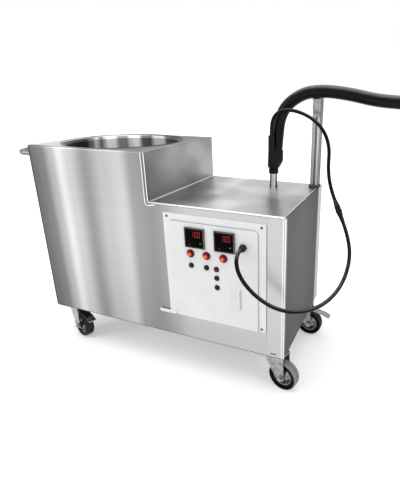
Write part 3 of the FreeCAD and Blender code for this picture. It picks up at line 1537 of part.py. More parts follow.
def build_all():
    right_x, back_y = s.casing_length - s.caster_inset_x, s.casing_depth - s.caster_inset_y
    round_y = s.casing_depth - round_corner_inset
    casters = {
        "front_left": (s.caster_inset_x, s.caster_inset_y, s.swivel_front_left),
        "front_right": (right_x, s.caster_inset_y, s.swivel_front_right),
        "back_right": (right_x, back_y, s.swivel_back_right),
        "back_left": (round_corner_inset, round_y, s.swivel_back_left),
    }
    node("front_sheet", build_front_sheet())
    node("right_sheet", build_right_sheet())
    node("rear_wrap", build_rear_wrap())
    node("deck_sheet", build_deck_sheet())
    node("base_frame", build_base_frame(casters))
    node("bottom_pan", build_bottom_pan())
    node("service_cover", build_service_cover())
    node("pot", build_pot())
    node("heater_band", build_heater_band(), (s.pot_centre_x, pot_y, 0))
    node("pot_jacket", build_jacket(), (s.pot_centre_x, pot_y, 0))
    node("suction_pipe", build_suction_pipe())
    node("pump", build_pump())
    node("shaft_coupling", build_coupling())
    node("pump_motor", build_motor())
    node("pump_mount", build_pump_mount())
    node("pressure_pipe", build_pressure_pipe())
    node("riser_pipe", build_riser(), (riser_x, riser_y, 0))
    node("hose_boot", build_boot())
    node("heated_hose", cord_tube("heated hose", HOSE_ROUTE, s.hose_radius))
    coil, last_edge = build_coil()
    node("hose_coil", coil)
    nozzle = build_nozzle(last_edge)
    place_free("hose_nozzle", nozzle, nozzle.Placement.Base, nozzle.Placement.Rotation)
    node("cable_glands", build_glands())
    node("cable_lower", cord_tube("lower cable", CABLE_LOWER, s.cable_radius))
    node("cable_upper", cord_tube("upper cable", CABLE_UPPER, s.cable_radius))
    connector = build_connector()
    place_free("inline_connector", connector, connector.Placement.Base, connector.Placement.Rotation)
    node("pole", group(build_pole()))
    node("pole_grommet", build_pole_grommet())
    node("hose_cradle", build_cradle(), (cradle_x - s.cradle_width / 2, 0, 0))
    node("cradle_bolts", build_cradle_bolts())
    node("push_handle", build_handle())
    node("panel_plate", build_panel_plate())
    node("panel_overlay", build_panel_overlay())
    node("controllers", build_controllers())
    node("controller_windows", build_windows())
    node("lamp_bezels", build_lamp_bezels())
    node("lamp_lenses", build_lamp_lenses())
    node("button_bezels", build_button_bezels())
    caps = [(place_of, build_button_cap) for place_of in buttons.items()]
    caps += [(place_of, build_fuse_cap) for place_of in fuses.items()]
    for (name, (x, z)), build in caps:
        cap = build()
        node(name, cap)
        place(cap, (x + shift_x, overlay_front + shift_y, z), (1, 0, 0), 90)
    node("cover_plate", build_cover_plate())
    node("panel_latch", build_latch(), (latch_x, 0, latch_z))
    node("panel_screws", build_panel_screws())
    build_casters(casters, ("front_left", "back_right"))


def check_and_write():
    doc.recompute()
    for thing in doc.Objects:
        if "Invalid" in thing.State or "Error" in thing.State:
            raise RuntimeError(f"{thing.Label} did not recompute: {thing.State}")
    for name, thing in nodes.items():
        shape = thing.Shape
        if shape.isNull() or not shape.isValid():
            raise RuntimeError(f"{name} has no valid shape")
        shape.exportStep(f"parts/{name}.step")
    print(f"{len(nodes)} nodes, shift {float(shift_x):.3f} {float(shift_y):.3f}")


build_all()
check_and_write()
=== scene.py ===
import math

import bpy
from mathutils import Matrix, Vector


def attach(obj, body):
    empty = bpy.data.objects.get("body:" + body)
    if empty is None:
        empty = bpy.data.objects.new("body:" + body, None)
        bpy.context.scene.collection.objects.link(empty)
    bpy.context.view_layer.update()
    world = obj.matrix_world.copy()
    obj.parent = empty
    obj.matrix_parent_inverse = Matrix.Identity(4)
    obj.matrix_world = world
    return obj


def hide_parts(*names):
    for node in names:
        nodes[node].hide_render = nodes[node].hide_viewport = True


# Paraffin wax dispenser: the looks of the cart, its hose and signal cable, and its small trim.
# Places are in millimetres from the casing's front left corner at floor level.
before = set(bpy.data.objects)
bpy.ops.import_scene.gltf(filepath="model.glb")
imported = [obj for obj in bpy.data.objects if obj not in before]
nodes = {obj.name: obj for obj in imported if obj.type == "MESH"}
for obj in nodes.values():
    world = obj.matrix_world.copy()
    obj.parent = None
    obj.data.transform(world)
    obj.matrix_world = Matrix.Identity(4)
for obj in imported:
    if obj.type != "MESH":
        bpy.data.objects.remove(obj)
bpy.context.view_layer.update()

MM = 0.001
CART_CORNER = Vector((-0.459884, -0.2205, 0.0))
CASING_LENGTH = 950
CASING_DEPTH = 445
CASING_FOOT = 149
TANK_END = 485
TANK_TOP = 775
DECK_EDGE = 617.2
POT_AXIS = (230, 222.5, 0)
RISER_AXIS = (785, 357, 0)
RISER_RADIUS = 15
AXLE_TRAIL = 33
AXLE_HEIGHT = 51
# Each caster's swivel: its place in x and y, and the degrees that it is turned by
CASTERS = {
    "front_left": (45, 55, -20), "front_right": (905, 55, -12), "back_right": (905, 390, -4),
    "back_left": (118, 327, 14),
}


def at(x, y, z):
    """A place counted in millimetres from the casing's corner, in the row's frame."""
    return CART_CORNER + Vector((x, y, z)) * MM


def axle_centre(corner):
    """The middle of a wheel's axle, which trails behind the swivel."""
    x, y, swing = CASTERS[corner]
    turn = math.radians(swing)
    return at(x + AXLE_TRAIL * math.cos(turn), y + AXLE_TRAIL * math.sin(turn), AXLE_HEIGHT)


# Camera at the photograph's viewing angle
CAMERA_TILT = 18.58
CAMERA_TURN = 21.04
camera_data = bpy.data.cameras.new("camera")
camera_data.lens = 27.77
camera_data.sensor_width = 36.0
camera_data.shift_x = -0.1256
camera_data.shift_y = -0.0572
camera = bpy.data.objects.new("camera", camera_data)
camera.location = at(1254, -974, 952)
camera.rotation_euler = (math.radians(90 - CAMERA_TILT), 0.0, math.radians(CAMERA_TURN))
bpy.context.scene.collection.objects.link(camera)
bpy.context.scene.camera = camera
bpy.context.scene.view_settings.view_transform = "Standard"

# Hose and signal cable: the routes from the casing's corner, in metres
HOSE_ROUTE = [
    (0.792, 0.370, 0.750), (0.796, 0.370, 0.812), (0.803, 0.370, 0.864), (0.826, 0.369, 0.906),
    (0.866, 0.367, 0.936), (0.908, 0.366, 0.952), (0.968, 0.366, 0.9545), (1.048, 0.366, 0.944),
    (1.138, 0.366, 0.9235), (1.2424, 0.366, 0.918), (1.3156, 0.366, 0.8757),
    (1.370, 0.366, 0.8079), (1.395, 0.366, 0.7283), (1.398, 0.366, 0.610), (1.396, 0.366, 0.470),
    (1.389, 0.366, 0.352), (1.384, 0.366, 0.261), (1.3864, 0.366, 0.191), (1.4068, 0.366, 0.1283),
    (1.4444, 0.366, 0.0765), (1.4946, 0.366, 0.0401), (1.5517, 0.366, 0.0215),
    (1.6117, 0.366, 0.0215),
]
CABLE_LOWER = [
    (0.8185, -0.024, 0.512), (0.8188, -0.0396, 0.512), (0.8205, -0.0564, 0.5024),
    (0.8235, -0.0655, 0.485), (0.831, -0.068, 0.458), (0.852, -0.066, 0.423),
    (0.892, -0.062, 0.385), (0.944, -0.048, 0.353), (1.004, -0.012, 0.336),
    (1.062, 0.048, 0.343), (1.101, 0.112, 0.386), (1.112, 0.165, 0.456), (1.0926, 0.199, 0.520),
    (1.072, 0.216, 0.5556),
]
CABLE_UPPER = [
    (1.038, 0.244, 0.615), (1.0174, 0.261, 0.6506), (1.002, 0.279, 0.712), (1.001, 0.295, 0.780),
    (0.974, 0.309, 0.836), (0.925, 0.319, 0.874), (0.866, 0.324, 0.894), (0.814, 0.327, 0.891),
    (0.7825, 0.337, 0.860), (0.7825, 0.337, 0.823),
]
HOSE_RADIUS = 0.021
CABLE_RADIUS = 0.006
COIL_RADIUS = 0.185
COIL_PITCH = 0.090
COIL_QUARTERS = 5
QUARTER_STEPS = 4


def coil_points():
    """Points of the coil on the floor: quarter turns that widen as they go round."""
    centre = Vector(HOSE_ROUTE[-1]) - Vector((0, COIL_RADIUS, 0))
    widening = COIL_PITCH / 4
    # The control points of a smooth line lie a little outside the arc that it draws
    outside = 2 / (1 + math.cos(math.radians(45 / QUARTER_STEPS)))
    points = []
    for quarter in range(COIL_QUARTERS):
        radius = COIL_RADIUS + widening * quarter
        for step in range(1, QUARTER_STEPS + 1):
            turn = math.radians(90 * (1 - quarter - step / QUARTER_STEPS))
            ray = Vector((math.cos(turn), math.sin(turn), 0))
            last = quarter == COIL_QUARTERS - 1 and step == QUARTER_STEPS
            points.append(tuple(centre + ray * radius * (1 if last else outside)))
        centre = centre - ray * widening
    return points


def round_line(name, places, radius, steps, roundness):
    """A smooth line of round section through places in the row's frame."""
    curve = bpy.data.curves.new(name, "CURVE")
    curve.dimensions = "3D"
    spline = curve.splines.new("NURBS")
    spline.points.add(len(places) - 1)
    for point, place in zip(spline.points, places):
        point.co = (*place, 1.0)
        point.radius = radius
    spline.order_u = 3
    spline.use_endpoint_u = True
    spline.resolution_u = steps
    curve.bevel_depth = 1.0
    curve.bevel_resolution = roundness
    curve.use_fill_caps = True
    line = bpy.data.objects.new(name, curve)
    bpy.context.scene.collection.objects.link(line)
    return line


def laid_cord(name, route, radius):
    """A cord along a route counted in metres from the casing's corner."""
    return round_line(name, [CART_CORNER + Vector(place) for place in route], radius, 8, 7)


hose = laid_cord("hose", HOSE_ROUTE + coil_points(), HOSE_RADIUS)
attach(hose, "cart")
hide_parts("heated_hose", "hose_coil")

cable_lower = laid_cord("signal_cable_lower", CABLE_LOWER, CABLE_RADIUS)
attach(cable_lower, "cart")
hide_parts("cable_lower")

cable_upper = laid_cord("signal_cable_upper", CABLE_UPPER, CABLE_RADIUS)
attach(cable_upper, "cart")
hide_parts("cable_upper")


# Materials
def linear(hex_colour):
    """An sRGB hex colour as linear red, green, blue and alpha."""
    parts = [int(hex_colour[i : i + 2], 16) / 255 for i in (1, 3, 5)]
    return (*(c / 12.92 if c <= 0.04045 else ((c + 0.055) / 1.055) ** 2.4 for c in parts), 1.0)


def add(tree, kind, inputs, stops=(), fade="LINEAR", **settings):
    """Adds a node with its settings and colour stops, and a value or a link for each input."""
    node = tree.nodes.new("ShaderNode" + kind)
    for name, value in settings.items():
        setattr(node, name, value)
    for name, value in inputs.items():
        if isinstance(value, bpy.types.Node):
            value = next(output for output in value.outputs if output.enabled)
        if isinstance(value, bpy.types.NodeSocket):
            tree.links.new(value, node.inputs[name])
        else:
            node.inputs[name].default_value = value
    if stops:
        node.color_ramp.interpolation = fade
    for index, (place, colour) in enumerate(stops):
        elements = node.color_ramp.elements
        element = elements[index] if index < 2 else elements.new(place)
        element.position = place
        element.color = linear(colour)
    return node


def new_finish(name):
    """A new empty material, its tree and the object's coordinates."""
    material = bpy.data.materials.new(name)
    material.use_nodes = True
    tree = material.node_tree
    tree.nodes.clear()
    return material, tree, add(tree, "TexCoord", {}).outputs["Object"]


def cells(width, drawn_out=(1, 1, 1)):
    """The scale of a pattern with cells of a width in millimetres, drawn out along an axis."""
    return [1 / (width * MM * part) for part in drawn_out]


# Hairlines of the brushing, in millimetres: coarser than the real ones, so that they show
GRAIN_WIDTH = 2.2
# How many times longer than wide they are, along each direction of brushing
GRAIN = {"x": (160, 1, 1), "y": (1, 160, 1), "z": (1, 1, 160), "level": (90, 90, 1)}


def brushed_metal(name, shades, axis, span, rough, grain, drift=0.04, clouds=0.0, edge="#ffffff"):
    """Brushed metal: hairlines along the grain, and broad soft bands of painted reflection, light
    and dark, across one axis.
    """
    material, tree, place = new_finish(name)
    combed = add(tree, "Mapping", {"Vector": place, "Scale": cells(GRAIN_WIDTH, GRAIN[grain])})
    lines = add(tree, "TexNoise", {"Vector": combed, "Scale": 1.0, "Detail": 3.0, "Roughness": 0.6})
    slow = add(tree, "Mapping", {"Vector": place, "Scale": cells(300, (1, 1, 3))})
    sway = add(tree, "TexNoise", {"Vector": slow, "Scale": 1.0, "Detail": 2.0, "Roughness": 0.5})
    parts = add(tree, "SeparateXYZ", {"Vector": place})
    first, last = (CART_CORNER["XYZ".index(axis)] + end * MM for end in span)
    across = add(tree, "MapRange", {
        "Value": parts.outputs[axis], "From Min": first, "From Max": last,
    })
    swayed = add(tree, "Math", {0: sway, 1: drift, 2: across}, operation="MULTIPLY_ADD")
    # Painted reflection: broad shades of light and dark across the sheet
    broad = add(tree, "ValToRGB", {"Fac": swayed}, shades, "EASE")
    hair = add(tree, "ValToRGB", {"Fac": lines}, [(0.25, "#f3f3f3"), (0.75, "#ffffff")])
    colour = add(tree, "Mix", {0: 1.0, 6: broad, 7: hair}, data_type="RGBA", blend_type="MULTIPLY")
    if clouds:
        patches = add(tree, "TexNoise", {
            "Vector": place, "Scale": 1 / (130 * MM), "Detail": 1.0, "Roughness": 0.3,
        })
        cloud = add(
            tree, "ValToRGB", {"Fac": patches}, [(0.36, "#b4b4b4"), (0.64, "#ffffff")], "EASE",
        )
        colour = add(
            tree, "Mix", {0: clouds, 6: colour, 7: cloud}, data_type="RGBA", blend_type="MULTIPLY",
        )
    polish = add(tree, "MapRange", {
        "Value": lines, "From Min": 0.3, "From Max": 0.7, "To Min": rough - 0.015,
        "To Max": rough + 0.02,
    })
    shader = add(tree, "BsdfPrincipled", {
        "Base Color": colour, "Metallic": 1.0, "Specular Tint": linear(edge), "Anisotropic": 0.6,
        "Anisotropic Rotation": 0.25, "Roughness": polish,
        "Normal": add(tree, "Bump", {"Height": lines, "Distance": 0.02 * MM, "Strength": 0.03}),
    })
    add(tree, "OutputMaterial", {"Surface": shader})
    return material


# Painted reflections: upright light and dark streaks of the pot's polished wall, placed from left
# to right across the view into it
POT_SHADES = [
    (0.0, "#0c0c0c"), (0.05, "#202020"), (0.09, "#787878"), (0.115, "#e0e0e0"),
    (0.15, "#747474"), (0.2, "#ffffff"), (0.25, "#ffffff"), (0.3, "#8c8c8c"),
    (0.355, "#909090"), (0.41, "#ffffff"), (0.475, "#ffffff"), (0.525, "#646464"),
    (0.6, "#5c5c5c"), (0.67, "#d8d8d8"), (0.74, "#dcdcdc"), (0.8, "#505050"),
    (0.89, "#2c2c2c"), (0.98, "#080808"),
]
# The turn from above of the line along which these places run, and its reach to either side
POT_VIEW_TURN = math.radians(21)
POT_VIEW_REACH = 210
# The brushed sheet round its mouth, from left to right: painted reflections, brightest at the left
# end
TANK_TOP_SHADES = [
    (0.0, "#ffffff"), (0.2, "#f6f6f6"), (0.5, "#949494"), (0.85, "#6c6c6c"), (1.0, "#808080"),
]
# The wall's radius, the radii over which its mouth turns into the top sheet, and the heights over
# which its bottom turns into the wall
POT_RADIUS = 214.5
POT_MOUTH = (216.5, 217.5)
POT_FLOOR = (379, 389)


def on_pot_diagonal(place):
    """The share of the pot's diagonal at which the far wall behind a place in the view stands."""
    turn = POT_VIEW_TURN + math.acos((2 * place - 1) * POT_VIEW_REACH / POT_RADIUS)
    return (math.cos(turn - math.radians(45)) + 1) / 2


def pot_steel(name):
    """The pot: an electropolished inside with upright streaks of painted reflection, in a brushed
    top sheet.
    """
    material, tree, place = new_finish(name)
    centred = add(tree, "Mapping", {"Vector": place, "Location": tuple(-at(*POT_AXIS))})
    flat = add(tree, "VectorMath", {0: centred, 1: (1, 1, 0)}, operation="MULTIPLY")
    reach = add(tree, "VectorMath", {0: flat}, operation="LENGTH")
    inside = add(tree, "MapRange", {
        "Value": reach, "From Min": POT_MOUTH[0] * MM, "From Max": POT_MOUTH[1] * MM, "To Min": 1.0,
        "To Max": 0.0,
    })
    streaks = add(tree, "TexNoise", {
        "Vector": flat, "Scale": 1 / (30 * MM), "Detail": 3.0, "Roughness": 0.62,
    })
    fine = add(
        tree, "ValToRGB", {"Fac": streaks},
        [(0.34, "#a8a8a8"), (0.43, "#f4f4f4"), (0.5, "#ffffff")], "EASE",
    )
    diagonal = add(tree, "VectorMath", {0: flat, 1: (0.7071, 0.7071, 0)}, operation="DOT_PRODUCT")
    across = add(tree, "MapRange", {
        "Value": diagonal, "From Min": -POT_RADIUS * MM, "From Max": POT_RADIUS * MM,
    })
    swayed = add(tree, "Math", {0: streaks, 1: 0.02, 2: across}, operation="MULTIPLY_ADD")
    shades = [(on_pot_diagonal(place), shade) for place, shade in POT_SHADES]
    # Painted reflections: the upright streaks of light and dark on the wall
    bands = add(tree, "ValToRGB", {"Fac": swayed}, shades, "EASE")
    wall = add(tree, "Mix", {0: 0.5, 6: bands, 7: fine}, data_type="RGBA", blend_type="MULTIPLY")
    drawn = add(tree, "Mapping", {"Vector": centred, "Scale": cells(9, (12, 12, 1))})
    swirl = add(tree, "TexNoise", {"Vector": drawn, "Scale": 1.0, "Detail": 3.0, "Roughness": 0.6})
    ground = add(tree, "ValToRGB", {"Fac": swirl}, [(0.3, "#8c8c8d"), (0.7, "#a8a8a9")])
    height = add(tree, "SeparateXYZ", {"Vector": place})
    above = add(tree, "MapRange", {
        "Value": height.outputs["Z"], "From Min": POT_FLOOR[0] * MM,
        "From Max": POT_FLOOR[1] * MM,
    })
    bowl = add(tree, "Mix", {0: above, 6: ground, 7: wall}, data_type="RGBA", blend_type="MIX")
    combed = add(tree, "Mapping", {"Vector": place, "Scale": cells(GRAIN_WIDTH, GRAIN["x"])})
    lines = add(tree, "TexNoise", {"Vector": combed, "Scale": 1.0, "Detail": 3.0, "Roughness": 0.6})
    hair = add(tree, "ValToRGB", {"Fac": lines}, [(0.25, "#f2f2f2"), (0.75, "#ffffff")])
    over = add(tree, "MapRange", {
        "Value": height.outputs["X"], "From Min": CART_CORNER.x, "From Max": at(TANK_END, 0, 0).x,
    })
    # Painted reflections across the top sheet, from left to right
    broad = add(tree, "ValToRGB", {"Fac": over}, TANK_TOP_SHADES, "EASE")
    sheet = add(tree, "Mix", {0: 1.0, 6: broad, 7: hair}, data_type="RGBA", blend_type="MULTIPLY")
    shader = add(tree, "BsdfPrincipled", {
        "Base Color": add(
            tree, "Mix", {0: inside, 6: sheet, 7: bowl}, data_type="RGBA", blend_type="MIX",
        ),
        "Metallic": add(tree, "MapRange", {"Value": inside, "To Min": 1.0, "To Max": 0.05}),
        "Roughness": add(tree, "MapRange", {"Value": inside, "To Min": 0.3, "To Max": 0.2}),
        "Specular Tint": linear("#dcdcdc"),
        "Normal": add(tree, "Bump", {"Height": streaks, "Distance": 0.8 * MM, "Strength": 0.3}),
    })
    add(tree, "OutputMaterial", {"Surface": shader})
    return material


def polished_steel(name, dark, light, rough):
    """Polished stainless tube or bead, with faint wipe marks."""
    material, tree, place = new_finish(name)
    drawn = add(tree, "Mapping", {"Vector": place, "Scale": cells(22, (1, 1, 3))})
    marks = add(tree, "TexNoise", {"Vector": drawn, "Scale": 1.0, "Detail": 4.0, "Roughness": 0.6})
    shader = add(tree, "BsdfPrincipled", {
        "Base Color": add(tree, "ValToRGB", {"Fac": marks}, [(0.3, dark), (0.7, light)]),
        "Metallic": 1.0,
        "Roughness": add(tree, "MapRange", {
            "Value": marks, "From Min": 0.3, "From Max": 0.7, "To Min": rough,
            "To Max": rough + 0.08,
        }),
        "Normal": add(tree, "Bump", {"Height": marks, "Distance": 0.05 * MM, "Strength": 0.4}),
    })
    add(tree, "OutputMaterial", {"Surface": shader})
    return material


# Painted highlight and shade across the riser's 30 mm, from left to right
RISER_SHADES = [
    (0.0, "#4a4940"), (0.3, "#5a594f"), (0.42, "#d6d5cb"), (0.78, "#e2e1d8"), (0.88, "#56554c"),
    (1.0, "#77756c"),
]


def riser_steel(name):
    """Electropolished riser: a painted highlight down its front, and painted shade, olive from the
    heat, at both sides.
    """
    material, tree, place = new_finish(name)
    parts = add(tree, "SeparateXYZ", {"Vector": place})
    across = add(tree, "MapRange", {
        "Value": parts.outputs["X"], "From Min": at(RISER_AXIS[0] - RISER_RADIUS, 0, 0).x,
        "From Max": at(RISER_AXIS[0] + RISER_RADIUS, 0, 0).x,
    })
    bands = add(tree, "ValToRGB", {"Fac": across}, RISER_SHADES, "EASE")
    drawn = add(tree, "Mapping", {"Vector": place, "Scale": cells(16, (1, 1, 3))})
    marks = add(tree, "TexNoise", {"Vector": drawn, "Scale": 1.0, "Detail": 4.0, "Roughness": 0.6})
    wiped = add(tree, "ValToRGB", {"Fac": marks}, [(0.3, "#e6e6e6"), (0.6, "#ffffff")])
    shader = add(tree, "BsdfPrincipled", {
        "Base Color": add(
            tree, "Mix", {0: 1.0, 6: bands, 7: wiped}, data_type="RGBA", blend_type="MULTIPLY",
        ),
        "Metallic": 1.0,
        "Roughness": add(tree, "MapRange", {
            "Value": marks, "From Min": 0.3, "From Max": 0.7, "To Min": 0.12, "To Max": 0.22,
        }),
    })
    add(tree, "OutputMaterial", {"Surface": shader})
    return material


def plated_steel(name, dark, light, rough, cloud_width=9):
    """Plated pressed steel: a cloudy metal, dulled in blotches."""
    material, tree, place = new_finish(name)
    clouds = add(tree, "TexNoise", {
        "Vector": place, "Scale": 1 / (cloud_width * MM), "Detail": 5.0, "Roughness": 0.6,
    })
    shader = add(tree, "BsdfPrincipled", {
        "Base Color": add(tree, "ValToRGB", {"Fac": clouds}, [(0.3, dark), (0.7, light)]),
        "Metallic": 1.0,
        "Roughness": add(tree, "MapRange", {
            "Value": clouds, "From Min": 0.3, "From Max": 0.7, "To Min": rough - 0.06,
            "To Max": rough + 0.1,
        }),
        "Normal": add(tree, "Bump", {"Height": clouds, "Distance": 0.04 * MM, "Strength": 0.5}),
    })
    add(tree, "OutputMaterial", {"Surface": shader})
    return material


def powder_coat(name, dark, light, rough=0.42):
    """Satin powder coat: a fine orange-peel skin over steel."""
    material, tree, place = new_finish(name)
    peel = add(tree, "TexNoise", {
        "Vector": place, "Scale": 1 / (1.6 * MM), "Detail": 2.0, "Roughness": 0.5,
    })
    tone = add(tree, "TexNoise", {
        "Vector": place, "Scale": 1 / (120 * MM), "Detail": 2.0, "Roughness": 0.5,
    })
    shader = add(tree, "BsdfPrincipled", {
        "Base Color": add(tree, "ValToRGB", {"Fac": tone}, [(0.3, dark), (0.7, light)]),
        "Roughness": rough, "IOR": 1.5, "Coat Weight": 0.15, "Coat Roughness": 0.3,
        "Normal": add(tree, "Bump", {"Height": peel, "Distance": 0.03 * MM, "Strength": 0.4}),
    })
    add(tree, "OutputMaterial", {"Surface": shader})
    return material


def moulded(name, dark, light, rough, grain_width=0.9, grain_depth=0.03, shine=0.5):
    """A moulded or painted skin: even colour, fine grain, patchy gloss."""
    material, tree, place = new_finish(name)
    grain = add(tree, "TexNoise", {
        "Vector": place, "Scale": 1 / (grain_width * MM), "Detail": 3.0, "Roughness": 0.6,
    })
    patches = add(tree, "TexNoise", {
        "Vector": place, "Scale": 1 / (28 * MM), "Detail": 3.0, "Roughness": 0.5,
    })
    shader = add(tree, "BsdfPrincipled", {
        "Base Color": add(tree, "ValToRGB", {"Fac": patches}, [(0.3, dark), (0.7, light)]),
        "Roughness": add(tree, "MapRange", {
            "Value": patches, "From Min": 0.3, "From Max": 0.7, "To Min": rough - 0.05,
            "To Max": rough + 0.08,
        }),
        "IOR": 1.45, "Specular IOR Level": shine,
        "Normal": add(tree, "Bump", {
            "Height": grain, "Distance": grain_depth * MM, "Strength": 0.5,
        }),
    })
    add(tree, "OutputMaterial", {"Surface": shader})
    return material


def cord_cover(name, dark, pale_band, rough, shine):
    """The smooth black cover of a hose or cable, with a painted highlight, paler, along its upper
    side.
    """
    material, tree, place = new_finish(name)
    grain = add(tree, "TexNoise", {
        "Vector": place, "Scale": 1 / (1.6 * MM), "Detail": 3.0, "Roughness": 0.6,
    })
    patches = add(tree, "TexNoise", {
        "Vector": place, "Scale": 1 / (34 * MM), "Detail": 3.0, "Roughness": 0.5,
    })
    facing = add(tree, "NewGeometry", {})
    up = add(tree, "SeparateXYZ", {"Vector": facing.outputs["Normal"]})
    # Painted highlight: paler where the surface faces up
    painted_highlight = add(tree, "Math", {0: patches, 1: 0.3, 2: up.outputs["Z"]}, operation="MULTIPLY_ADD")
    shader = add(tree, "BsdfPrincipled", {
        "Base Color": add(tree, "ValToRGB", {"Fac": painted_highlight}, [(0.55, dark), (1.0, pale_band)], "EASE"),
        "Roughness": rough, "IOR": 1.4, "Specular IOR Level": shine,
        "Normal": add(tree, "Bump", {"Height": grain, "Distance": 0.05 * MM, "Strength": 0.5}),
    })
    add(tree, "OutputMaterial", {"Surface": shader})
    return material


# Farther, in metres, than a wheel or a pilot lamp is from its own middle
FAR_OFF = 1.0
# The tyre's radii over which its wall turns into the tread
TREAD_EDGE = (50.2, 51.2)


def rolled_rubber(name, dark, light):
    """Solid black rubber tyre, whose tread takes the colours given and whose walls stay black."""
    material, tree, place = new_finish(name)
    nearest = FAR_OFF
    for corner in CASTERS:
        way = add(
            tree, "VectorMath", {0: place, 1: tuple(axle_centre(corner))}, operation="DISTANCE",
        )
        nearest = add(tree, "Math", {0: nearest, 1: way}, operation="MINIMUM")
    rubber_grain = add(tree, "TexNoise", {
        "Vector": place, "Scale": 1 / (9 * MM), "Detail": 4.0, "Roughness": 0.6,
    })
    tread = add(tree, "ValToRGB", {"Fac": rubber_grain}, [(0.3, dark), (0.7, light)])
    wall = add(tree, "ValToRGB", {"Fac": rubber_grain}, [(0.3, "#020202"), (0.7, "#060606")])
    pale_band = add(tree, "MapRange", {
        "Value": nearest, "From Min": TREAD_EDGE[0] * MM, "From Max": TREAD_EDGE[1] * MM,
    })
    shader = add(tree, "BsdfPrincipled", {
        "Base Color": add(
            tree, "Mix", {0: pale_band, 6: wall, 7: tread}, data_type="RGBA", blend_type="MIX",
        ),
        "Roughness": add(tree, "MapRange", {"Value": pale_band, "To Min": 0.3, "To Max": 0.5}),
        "IOR": 1.45, "Specular IOR Level": 0.06,
        "Normal": add(tree, "Bump", {"Height": rubber_grain, "Distance": 0.06 * MM, "Strength": 0.4}),
    })
    add(tree, "OutputMaterial", {"Surface": shader})
    return material


# The pilot lamps: their middles, how far their light reaches, and its colours from the middle out
LAMP_CENTRES = [at(636.0, -13, 466.5), at(693.1, -13, 466.5), at(751.5, -13, 466.5)]
LAMP_REACH = 11
LAMP_GLOW = [
    (0.0, "#ff9a50"), (0.3, "#f45c28"), (0.58, "#b81c0c"), (0.82, "#640a05"), (1.0, "#280302"),
]
LAMP_SKIN = [(0.0, "#7a2410"), (0.6, "#4a0c06"), (1.0, "#1c0302")]


def lit_lens(name):
    """Red polycarbonate over a lit filament: an orange heart that falls to dark red at the rim."""
    material, tree, place = new_finish(name)
    flat = add(tree, "VectorMath", {0: place, 1: (1, 0, 1)}, operation="MULTIPLY")
    nearest = FAR_OFF
    for centre in LAMP_CENTRES:
        way = add(
            tree, "VectorMath", {0: flat, 1: (centre.x, 0, centre.z)}, operation="DISTANCE",
        )
        nearest = add(tree, "Math", {0: nearest, 1: way}, operation="MINIMUM")
    flutes = add(tree, "TexNoise", {
        "Vector": place, "Scale": 1 / (4 * MM), "Detail": 2.0, "Roughness": 0.5,
    })
    reach = add(tree, "MapRange", {"Value": nearest, "From Min": 0.0, "From Max": LAMP_REACH * MM})
    shader = add(tree, "BsdfPrincipled", {
        "Base Color": add(tree, "ValToRGB", {"Fac": reach}, LAMP_SKIN),
        "Emission Color": add(tree, "ValToRGB", {"Fac": reach}, LAMP_GLOW),
        "Emission Strength": 1.0, "Roughness": 0.2, "IOR": 1.45, "Specular IOR Level": 0.25,
        "Coat Weight": 0.05, "Coat Roughness": 0.1,
        "Normal": add(tree, "Bump", {"Height": flutes, "Distance": 0.1 * MM, "Strength": 0.3}),
    })
    add(tree, "OutputMaterial", {"Surface": shader})
    return material


def lit_bar(name, colour, strength):
    """A lit bar of a number display: even colour with a soft grain."""
    material, tree, place = new_finish(name)
    grain = add(tree, "TexNoise", {
        "Vector": place, "Scale": 1 / (1.5 * MM), "Detail": 2.0, "Roughness": 0.5,
    })
    soft = add(tree, "ValToRGB", {"Fac": grain}, [(0.3, "#d8d8d8"), (0.7, "#ffffff")])
    shade = add(
        tree, "Mix", {0: 1.0, 6: linear(colour), 7: soft}, data_type="RGBA", blend_type="MULTIPLY",
    )
    shader = add(tree, "BsdfPrincipled", {
        "Base Color": shade, "Emission Color": shade, "Emission Strength": strength,
        "Roughness": 0.3, "IOR": 1.5,
    })
    add(tree, "OutputMaterial", {"Surface": shader})
    return material


# Painted reflections: broad shades of light and dark across the sheets and the pole, as brushed
# metal picks them up from the room
FRONT_SHADES = [
    (0.0, "#5a5a5a"), (0.03, "#5c5c5c"), (0.08, "#6c6c6c"), (0.125, "#9c9c9c"), (0.165, "#c6c6c6"),
    (0.205, "#b0b0b0"), (0.28, "#848484"), (0.35, "#a8a8a8"), (0.425, "#b6b6b6"),
    (0.475, "#8e8e8e"), (0.54, "#868686"), (0.7, "#b4b4b4"), (1.0, "#b6b6b6"),
]
# The right side: painted shade, with a painted highlight on the front fold at its start
SIDE_SHADES = [
    (0.0, "#bcbcbc"), (0.022, "#bababa"), (0.026, "#8a8a8a"), (0.4, "#909090"), (0.9, "#848484"),
    (1.0, "#989898"),
]
WRAP_SHADES = [(0.0, "#8a8a8a"), (0.5, "#a6a6a6"), (1.0, "#8e8e8e")]
DECK_SHADES = [
    (0.0, "#9a9a9a"), (0.12, "#acacac"), (0.35, "#d8d8d8"), (0.7, "#d8d8d8"), (1.0, "#bcbcbc"),
]
POLE_SHADES = [
    (0.0, "#6a6a6a"), (0.16, "#a4a4a4"), (0.4, "#acacac"), (0.55, "#777777"), (0.66, "#d4d4d4"),
    (0.84, "#bebebe"), (1.0, "#6a6a6a"),
]

# Grade 304 sheet, brushed level: soft upright bands of painted reflection, light and shade, on the
# front
STEEL_FRONT = brushed_metal(
    "brushed_steel_front", FRONT_SHADES, "X", (0, CASING_LENGTH), 0.3, "x",
)
# The same sheet turned away from the light, painted darker as shade: an even mid grey, with a paler
# front fold that is a painted highlight
STEEL_SIDE = brushed_metal(
    "brushed_steel_side", SIDE_SHADES, "Y", (0, CASING_DEPTH), 0.36, "level", drift=0.0,
    edge="#909090",
)
